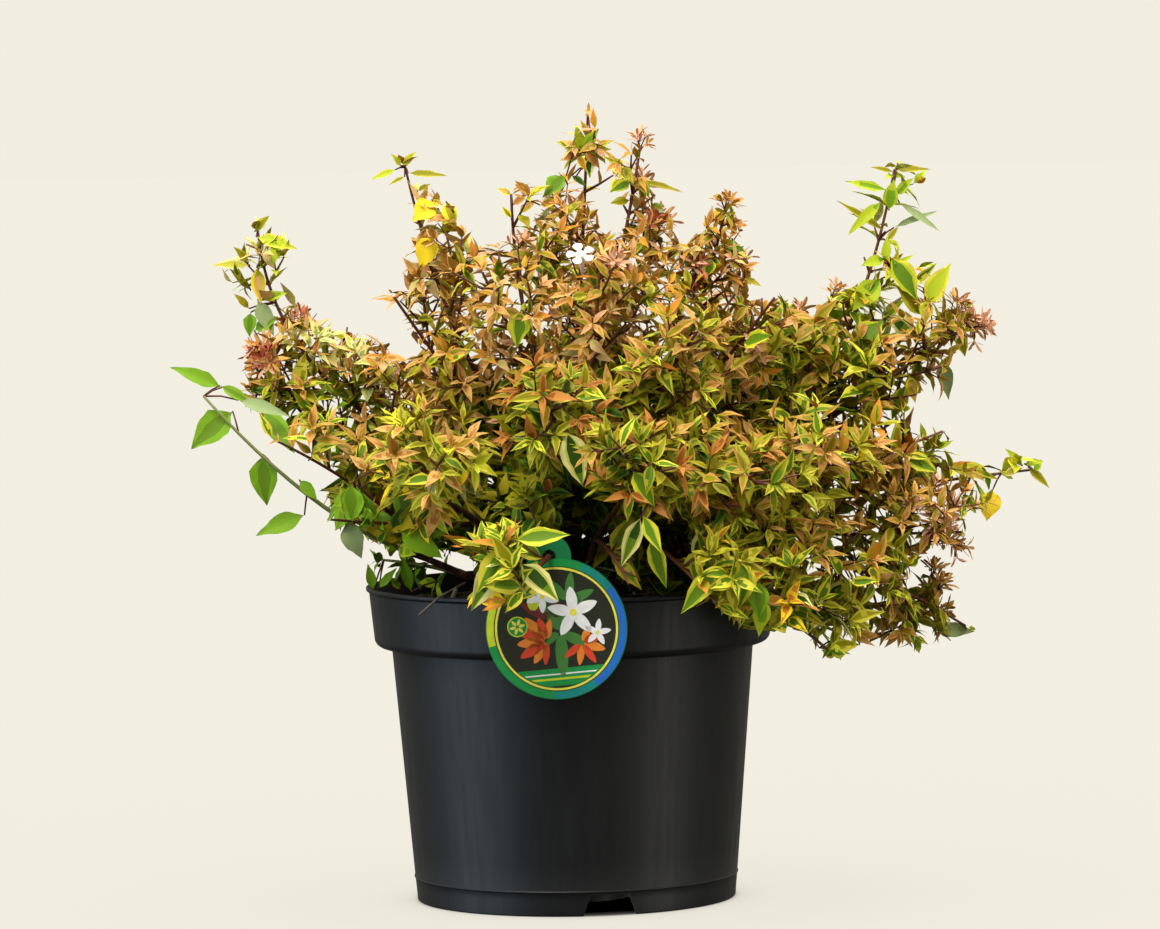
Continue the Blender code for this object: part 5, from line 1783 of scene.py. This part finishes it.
# Rows of points over a blade, from its base to its tip: place along it, half width
LEAF_ROWS = ((0.07, 0.10), (0.19, 0.66), (0.34, 1.0), (0.52, 0.91), (0.70, 0.58), (0.87, 0.22))
SEPAL_ROWS = ((0.12, 0.35), (0.45, 0.9), (0.72, 1.0), (0.9, 0.6))
LARGE_ROWS = ((0.03, 0.02), (0.08, 0.16), (0.15, 0.50), (0.23, 0.80), (0.32, 0.96), (0.42, 1.0),
              (0.53, 0.93), (0.64, 0.76), (0.75, 0.52), (0.85, 0.30), (0.94, 0.11))
BLADE_TEMPLATES = 14
COLOUR_TURNS = (0.3, 0.45, 0.6, 0.75)     # places where a middle may take its tip's colour
# Paint between the middle and a margin of each paint
BANDS = {"yellow": "lime", "cream": "lime_pale", "gold": "lime", "yellow_soft": "olive_soft"}


def between(middle, margin):
    """Paint of the band between a leaf's middle and its margin."""
    return margin if middle == margin else BANDS.get(margin, margin)


class Blades:
    """Blades of one make, gathered as numbers and added to a heap together at the end.

    Each row of a blade has its edges, its midrib and, with five or seven columns, the two lines
    that part the colour of the middle from that of the margin.  Seven part off a band too.
    """

    def __init__(self, rows=LEAF_ROWS, columns=5):
        self.rows = rows
        self.columns = columns
        self.frames = []
        self.shapes = []
        self.kinds = []

    def add(self, root, heading, face, length, width, fold, bend, kind):
        """Notes a blade; its width is a share of its length, its bend is in radians."""
        side = heading.cross(face)
        self.frames.append((*root, *side, *heading, *face))
        self.shapes.append((length, width, fold, bend))
        self.kinds.append(kind)

    def template(self, rng):
        """Shares of width and length for each point of a blade, and its rippled height."""
        points = [(0.0, 0.0, 0.0)]
        wave = rng.uniform(0, 6.28)
        parts = [rng.uniform(0.4, 0.7), rng.uniform(0.4, 0.7)]
        shares = {3: (), 5: (1.0,), 7: (1.2, 0.85)}[self.columns]
        step = 0.16 if self.columns == 5 else 0.09
        least, most = MIDDLE_SPAN
        for row, (t, width) in enumerate(self.rows):
            t += rng.uniform(-0.1, 0.1) / len(self.rows) if 0 < row < len(self.rows) - 1 else 0.0
            left, right = (width * rng.uniform(0.94, 1.06) for _ in range(2))
            parts = [min(most, max(least, part + rng.uniform(-step, step))) for part in parts]
            points.append((-left, t, RIPPLE * math.sin(wave + 1.9 * row)))
            points += [(-left * parts[0] * share, t, 0.0) for share in shares]
            points.append((0.0, t, 0.0))
            points += [(right * parts[1] * share, t, 0.0) for share in reversed(shares)]
            points.append((right, t, RIPPLE * math.cos(wave + 2.2 * row)))
        return points + [(0.0, 1.0, 0.0)]

    def faces(self):
        """Quads and triangles with their column and row."""
        rows, columns = len(self.rows), self.columns
        quads, tris = [], []
        for column in range(columns - 1):
            for row in range(rows - 1):
                a = 1 + row * columns + column
                quads.append((a, a + 1, a + columns + 1, a + columns, column, row))
            last = 1 + (rows - 1) * columns
            tris.append((0, 2 + column, 1 + column, column, 0))
            tris.append((last + columns, last + column, last + column + 1, column, rows))
        return np.array(quads), np.array(tris)

    def fill(self, heap, paints, rng):
        """Adds all the blades to the heap."""
        made = random.Random(f"{SEED} blades")
        templates = np.array([self.template(made) for _ in range(BLADE_TEMPLATES)])
        quads, tris = self.faces()
        flips = np.array([[made.random() for _ in quads] for _ in range(BLADE_TEMPLATES)])
        count = len(self.kinds)
        pick = np.array([rng.randrange(BLADE_TEMPLATES) for _ in range(count)])
        turn = np.array([round(rng.choice(COLOUR_TURNS) * len(self.rows)) for _ in range(count)])
        frames = np.array(self.frames).reshape(count, 4, 3)
        length, width, fold, bend = np.array(self.shapes).T[:, :, None]
        u, v, ripple = templates[pick].transpose(2, 0, 1)
        x = u * width * length / 2
        bend = np.where(np.abs(bend) < 1e-3, 1e-3, bend)
        y = length * np.sin(bend * v) / bend
        z = fold * np.abs(x) + ripple * width * length - length * (1 - np.cos(bend * v)) / bend
        points = (frames[:, None, 0] + x[..., None] * frames[:, None, 1]
                  + y[..., None] * frames[:, None, 2] + z[..., None] * frames[:, None, 3])
        kinds = [LEAF_KINDS[kind] for kind in self.kinds]
        middle, end, margin = (np.array([[paints[kind[k]]] for kind in kinds]) for k in range(3))
        band = np.array([[paints[between(kind[0], kind[2])]] for kind in kinds])
        splash = np.array([[kind[3]] for kind in kinds])
        if self.columns == 7:
            splash = splash * 0.0
        start = heap.count + points.shape[1] * np.arange(count)[:, None, None]
        heap.points.append(points.reshape(-1, 3))
        for faces, size, spots in ((quads, 4, flips[pick]), (tris, 3, np.ones((count, len(tris))))):
            column, row = faces[:, size], faces[:, size + 1]
            outer = ((column == 0) | (column == self.columns - 2))[None]
            paint = np.where(row[None] >= turn[:, None], end, middle)
            if self.columns == 7:
                paint = np.where(((column == 1) | (column == 4))[None], band, paint)
            paint = np.where(outer | (spots < splash), margin, paint)
            heap.faces[size].append((faces[None, :, :size] + start).reshape(-1, size))
            heap.paints[size].append(paint.ravel())
        heap.count += points.shape[1] * count


def square_to(heading, vector):
    """The unit vector square to heading that is nearest to vector."""
    return (vector - heading * vector.dot(heading)).normalized()


def near(place, node):
    """A place, moved in depth to within reach of a twig."""
    place.y = node.y + max(-DEPTH_REACH, min(DEPTH_REACH, place.y - node.y))
    return place


def twig_paint(palette, order, rng):
    """Paint number of a stem or shoot."""
    if palette in ("runner", "sprout"):
        return GREEN
    if palette in ("bronze", "rose", "olive", "golden", "amber", "tawny", "deep"):
        return RED if rng.random() < 0.8 else BROWN
    return (RED, BROWN, GREEN)[order] if rng.random() < 0.6 else BROWN


def pick_kind(shares, rng):
    """A kind of leaf drawn by its share."""
    return rng.choices(list(shares), weights=list(shares.values()))[0]


def jitter(rng, size):
    """A random vector of up to size each way."""
    return Vector((rng.uniform(-1, 1), rng.uniform(-1, 1), rng.uniform(-1, 1))) * size


class Shrub:
    """All that grows from the boughs.

    What a shoot belongs to is given as (mass, its number, piece, palette, (calyxes, their kinds)).
    """

    def __init__(self):
        self.space = Space()
        self.blades = {piece: Blades() for piece in PIECES}
        self.blades["large"] = Blades(LARGE_ROWS, 7)
        self.sepals = Blades(SEPAL_ROWS, 3)
        self.twigs = Heap()
        self.tips = []
        self.nodes = []

    def leaf(self, root, along, turn, forward, length, kind, mass, rng, slim=1.0):
        """Tries a leaf at root to one side of along."""
        piece, palette = mass[2:4]
        for attempt in range(LEAF_TRIES):
            aside = across(along, turn)
            heading = along * (forward * rng.uniform(0.75, 1.25)) + aside
            heading = (heading + UP * rng.uniform(-0.3, 0.15) + jitter(rng, 0.12)).normalized()
            outward = Vector((root.x, root.y - 0.05, 0.0))
            face = along * 0.7 + UP * 0.6 + outward * 2.0 + jitter(rng, 0.35)
            face = square_to(heading, face)
            size = length * (1.0 - LEAF_SHRINK * attempt)
            if self.fits(root, heading, face, size, mass):
                width = LEAF_SIZES[palette][2] * slim * rng.uniform(0.88, 1.12)
                self.blades[piece].add(root, heading, face, size, width, rng.uniform(0.1, 0.4),
                                       rng.uniform(0.15, 0.85), kind)
                return
            turn += rng.uniform(-40, 40)

    def fits(self, root, heading, face, size, mass):
        """True where the blade lies in the mass's space and touches nothing solid."""
        middle = np.array(root + heading * size * 0.5)
        tip = np.array(root + heading * size * 0.92 - face * size * 0.25)
        side = np.array(heading.cross(face)) * size * 0.18
        space = self.space
        name, number = mass[:2]
        if not space.is_own(middle, number) or space.is_crowded(middle, ROOM):
            return False
        spots = (middle, tip, middle + side, middle - side)
        if not all(space.is_clear(point, LEAF_CLEARANCE) for point in spots):
            return False
        if space.side_of_label(root) * space.side_of_label(tip) < 0:
            return False
        if name not in BEYOND_OUTLINE and not all(map(space.is_inside_outline, (middle, tip))):
            return False
        space.take(middle)
        return True

    def shoot(self, start, heading, length, radius, order, mass, rng, rise):
        """A shoot with pairs of leaves, and finer shoots in the axils of its leaves."""
        name, number, _, palette, _ = mass
        foot_size, tip_size, _ = LEAF_SIZES[palette]
        spacing = LEAF_GAPS[order] * MM * rng.uniform(0.9, 1.15)
        line = [start]
        for _ in range(max(1, round(length / spacing))):
            heading = (heading + UP * rise + jitter(rng, 0.09)).normalized()
            point = line[-1] + heading * spacing
            place = np.array(point)
            if not self.space.is_clear(place, TWIG_CLEARANCE):
                break
            if not self.space.is_own(place, number):
                break
            if name not in BEYOND_OUTLINE and not self.space.is_inside_outline(place):
                break
            line.append(point)
        if len(line) < 2:
            return
        radii = np.linspace(radius, 0.5 * radius, len(line))
        tube(self.twigs, [p[:] for p in line], radii, 5, twig_paint(palette, order, rng))
        self.nodes += line[1:]
        kinds = [pick_kind(zone, rng) for zone in TINTS[palette]]
        turn = rng.uniform(0, 360)
        count = len(line) - 1
        for k in range(1, len(line)):
            along = (line[k] - line[k - 1]).normalized()
            t = k / count
            zone = 0 if t < 0.4 and count > 2 else (1 if k < count else 2)
            size = (foot_size + (tip_size - foot_size) * t) * MM * LEAF_SHARES[order]
            turn += 90 + rng.uniform(-12, 12)
            for flank in (0.0, 180.0):
                kind = kinds[zone] if rng.random() < 0.6 else pick_kind(TINTS[palette][zone], rng)
                forward = 0.9 if k == count else 0.55
                self.leaf(line[k], along, turn + flank, forward, size * rng.uniform(0.85, 1.12),
                          kind, mass, rng)
                if order == 1 and k < count and rng.random() < FORK_SHARE:
                    way = along * rng.uniform(0.5, 0.9) + across(along, turn + flank)
                    self.shoot(line[k], way.normalized(), rng.uniform(*FORK_LENGTHS) * MM,
                               radius * FORK_RADIUS_SHARE, 2, mass, rng, rise)
        self.tip(line[-1], (line[-1] - line[-2]).normalized(), turn, tip_size, order, mass, rng)

    def tip(self, end, along, turn, size, order, mass, rng):
        """The star of young leaves that a shoot ends in, or its calyxes."""
        name, _, _, palette, head = mass
        if order == 1 and head[0]:
            self.calyxes(end, along, rng, *head)
            return
        if order < 2 and rng.random() < CALYX_SHARES.get(name, 0.0):
            if (end - Vector(MASSES[name][2]) * MM).length < CALYX_REACH:
                full = FULL_HEAD if CALYX_SHARES[name] == 1.0 else SMALL_HEAD
                self.calyxes(end, along, rng, rng.randint(3, 6) if order else full,
                             "deep" if name in DEEP_HEADS else "rose")
                return
        self.tips.append((end.copy(), along.copy()))
        kind = pick_kind(TINTS[palette][2], rng)
        for flank in (90.0, 270.0):
            self.leaf(end + along * 1.2 * MM, along, turn + flank, 1.1,
                      size * rng.uniform(0.75, 0.95) * MM, kind, mass, rng, 0.85)
        for flank in (0.0, 180.0):
            self.leaf(end + along * 2.4 * MM, along, turn + flank + 15, 2.2, size * 0.6 * MM,
                      kind, mass, rng, 0.75)

    def calyxes(self, end, along, rng, heads, kinds):
        """A head of stalked calyxes, each a star of narrow sepals."""
        for head in range(heads):
            way = along * 0.9 + across(along, rng.uniform(0, 360)) * rng.uniform(0.2, 1.0)
            if head >= FORWARD_CALYXES:
                way = across(along, rng.uniform(0, 360)) - along * rng.uniform(-0.2, 0.9)
            way.normalize()
            foot = end + way * rng.uniform(*CALYX_STALKS) * MM
            tube(self.twigs, [end[:], foot[:]], (CALYX_STALK, CALYX_STALK), 4, RED)
            turn = rng.uniform(0, 360)
            count = rng.choice((4, 5))
            kind = rng.choice(HEAD_KINDS[kinds])
            for k in range(count):
                out = across(way, turn + 360 * k / count)
                heading = (way * rng.uniform(0.5, 0.9) + out).normalized()
                self.sepals.add(foot, heading, square_to(heading, way),
                                rng.uniform(*SEPAL_LENGTHS) * MM, SEPAL_WIDTH, 0.3,
                                rng.uniform(-0.3, 0.5), kind)

    def grow_mass(self, name):
        """The main stem of a mass with its leaves and side shoots."""
        rng = random.Random(f"{SEED} {name} fine")
        _, _, _, spread, tint = MASSES[name]
        palette = PALETTES.get(name, tint)
        mass = (name, list(MASSES).index(name), piece_of(name), palette, (0, ""))
        controls = stem_controls(name)
        places = [bezier(controls, k / 8)[0] for k in range(9)]
        length = sum((b - a).length for a, b in zip(places, places[1:]))
        slender = name in SLENDER
        nodes = max(3, round(length / (STEM_GAPS.get(name, USUAL_STEM_GAP) * MM)))
        line = [bezier(controls, k / (2 * nodes))[0][:] for k in range(2 * nodes + 1)]
        radii = np.linspace(*STEM_RADII, 2 * nodes + 1)
        tube(self.twigs, line, radii, 6, twig_paint(palette, 0, rng))
        foot_size, tip_size, _ = LEAF_SIZES[palette]
        turn = rng.uniform(0, 360)
        for node in range(1, nodes + 1):
            t = node / nodes
            place, along = bezier(controls, t)
            self.nodes.append(place)
            turn += 90 + rng.uniform(-10, 10)
            if name == RUNNER:
                continue
            zone = TINTS[palette][0 if t < 0.3 else (1 if t < 0.85 else 2)]
            size = (foot_size + (tip_size - foot_size) * t ** 2) * MM
            chance = (0.6 if slender else 0.9) * (1.0 if t < 0.9 else 0.4) * FULLNESS.get(name, 1.0)
            for flank in (0.0, 180.0):
                self.leaf(place, along, turn + flank, 0.5, size * rng.uniform(0.9, 1.15),
                          pick_kind(zone, rng), mass, rng)
                if node == nodes or rng.random() > chance:
                    continue
                aside = across(along, turn + flank + rng.uniform(-15, 15))
                way = (along * rng.uniform(0.4, 0.95) + aside + UP * 0.1).normalized()
                reach = spread * MM * rng.uniform(0.55, 1.0) * (1.0 - 0.4 * t)
                if slender:
                    reach = rng.uniform(*SLENDER_LENGTHS) * MM
                self.shoot(place, way, reach, SHOOT_RADIUS, 1, mass, rng, rng.uniform(0.0, 0.14))
        if name != RUNNER:
            self.tip(*bezier(controls, 1.0), turn, tip_size, 0, mass, rng)

    def grow_inside(self, name):
        """Short leafy shoots on a bough, in the shade of the masses; their dark leaves are partly their own green,
        partly painted shade.
        """
        rng = random.Random(f"{SEED} {name} inside")
        line = bough_line(name, 24)
        mass = (name, None, "inner", "inner", (0, ""))
        for k in range(5, 12 if name in OPEN_BOUGHS else 23, 2):
            along = (line[k] - line[k - 1]).normalized()
            for _ in range(2):
                aside = across(along, rng.uniform(0, 360))
                way = (along * rng.uniform(0.2, 0.9) + aside).normalized()
                start = line[k] + aside * bough_radius(name, k / 23) * 1.3
                self.shoot(start, way, rng.uniform(*INNER_LENGTHS) * MM, INNER_RADIUS, 2, mass,
                           rng, 0.05)

    def flower(self, target, petals):
        """A funnel with five lobes on the shoot tip nearest to target."""
        rng = random.Random(f"{SEED} flower {target}")
        target = Vector(target) * MM
        end, along = min(self.tips, key=lambda tip: sight_distance(tip[0], target))
        target = near(target, end)
        if (target - end).length > BRIDGED:
            line = [end[:], ((end + target) / 2 + UP * MM)[:], target[:]]
            tube(self.twigs, line, FLOWER_STALK, 5, BROWN)
            end = target
        way = (along * 0.5 + Vector((0.0, math.copysign(1.0, target.y), 0.35))).normalized()
        line = [end + way * along_tube * MM for along_tube, _ in FLOWER_TUBE]
        mouth = line[-1]
        radii = [radius * MM for _, radius in FLOWER_TUBE]
        tube(self.twigs, [place[:] for place in line], radii, 8, PALE)
        for k in range(5):
            out = across(way, 72 * k)
            heading = (way * 0.35 + out).normalized()
            self.sepals.add(mouth + out * 2.2 * MM, heading, square_to(heading, way),
                            rng.uniform(*PETAL_LENGTHS) * MM, PETAL_WIDTH, 0.1,
                            rng.uniform(0.3, 0.9), "flower_" + petals)

    def nearest_node(self, place):
        """The place on a twig, where leaves stand, that is seen nearest to place."""
        return min(self.nodes, key=lambda node: sight_distance(node, place))

    def spray(self, foot, tip, palette, heads=0, kinds="", piece="rose"):
        """A shoot from the twig nearest to foot towards tip."""
        rng = random.Random(f"{SEED} spray {foot} {tip}")
        node = self.nearest_node(Vector(foot) * MM)
        way = near(Vector(tip) * MM, node) - node
        self.shoot(node, way.normalized(), way.length, SPRAY_RADIUS, 1,
                   ("", None, piece, palette, (heads, kinds)), rng, 0.0)

    def feature_leaf(self, foot, run, width, kind):
        """A leaf that stands out, from the twig nearest to foot towards the end of its run."""
        rng = random.Random(f"{SEED} feature {foot}")
        foot, run = Vector(foot) * MM, Vector(run) * MM
        node = self.nearest_node(foot)
        end = foot + run
        foot = near(foot, node)
        if (foot - node).length > BRIDGED:
            middle = (node + foot) / 2 + UP * (foot - node).length * 0.06
            tube(self.twigs, [node[:], middle[:], foot[:]], LEAF_STALK, 5, RED)
            node = foot
        heading = end - node
        least, most = (run.length * share for share in RUN_SPAN)
        length = min(max(heading.length, least), most)
        heading.normalize()
        face = square_to(heading, Vector((rng.uniform(-0.25, 0.25), -0.9, 0.5)))
        self.blades["large"].add(node, heading, face, length, width, 0.2, rng.uniform(0.1, 0.5),
                                 kind)


def sight_distance(place, target):
    """How far place is from target, a step away from the viewer counting less than one aside."""
    away = place - target
    return math.hypot(away.x, away.z) + 0.35 * abs(away.y)


def piece_of(name):
    """The piece that a mass's leaves are joined into."""
    tip, tint = MASSES[name][2], MASSES[name][4]
    return tint + "_back" if tip[1] > BACK_FROM.get(tint, math.inf) else tint


def add_foliage():
    shrub = Shrub()
    for name in MASSES:
        shrub.grow_mass(name)
    for name in BOUGHS:
        shrub.grow_inside(name)
    for target, petals in FLOWERS:
        shrub.flower(target, petals)
    for spray in SPRAYS:
        shrub.spray(*spray)
    for feature in FEATURE_LEAVES:
        shrub.feature_leaf(*feature)
    for places, radius in BARE_TWIGS:
        line = [tuple(part * MM for part in place) for place in places]
        tube(shrub.twigs, line, [radius * MM] * len(line), 6, DRY)
    paints = {name: number for number, name in enumerate(PAINT)}
    materials = [principled(f"leaf_{name}", linear(colour), *LEAF_SURFACE)[0]
                 for name, colour in PAINT.items()]
    rng = random.Random(f"{SEED} templates")
    for piece, blades in shrub.blades.items():
        heap = Heap()
        blades.fill(heap, paints, rng)
        mesh = heap.mesh(f"leaves_{piece}", materials)
        mesh.set_sharp_from_angle(angle=LEAF_SHARP)
        nodes = [name for name in MASSES if piece_of(name) == piece]
        slot = "foliage_olive" if piece in ("inner", "large") else "foliage_" + piece.split("_")[0]
        add_piece(f"leaves_{piece}", mesh, slot, *nodes)
    heap = Heap()
    shrub.sepals.fill(heap, paints, rng)
    add_piece("calyxes_and_petals", heap.mesh("calyxes_and_petals", materials), "foliage_rose")
    barks = [principled(name, linear(colour), *TWIG_SURFACE)[0]
             for name, colour in TWIG_COLOURS.items()]
    add_piece("twigs", shrub.twigs.mesh("twigs", barks), "bark")


def main():
    add_stage()
    add_camera()
    add_pot()
    add_piece("compost_bed", soil_mesh(), "compost", "compost")
    add_crumbs(random.Random(f"{SEED} crumbs"))
    add_label()
    bark = bark_material()
    add_root_crown(bark)
    add_boughs(bark)
    add_foliage()


main()
bpy.context.scene.view_settings.view_transform = "Standard"
sizes = {"cad": [list(corner) for corner in CAD_BOX], "visual": [list(corner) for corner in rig.bounds()]}
with open("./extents.json", "w") as file:
    json.dump(sizes, file)
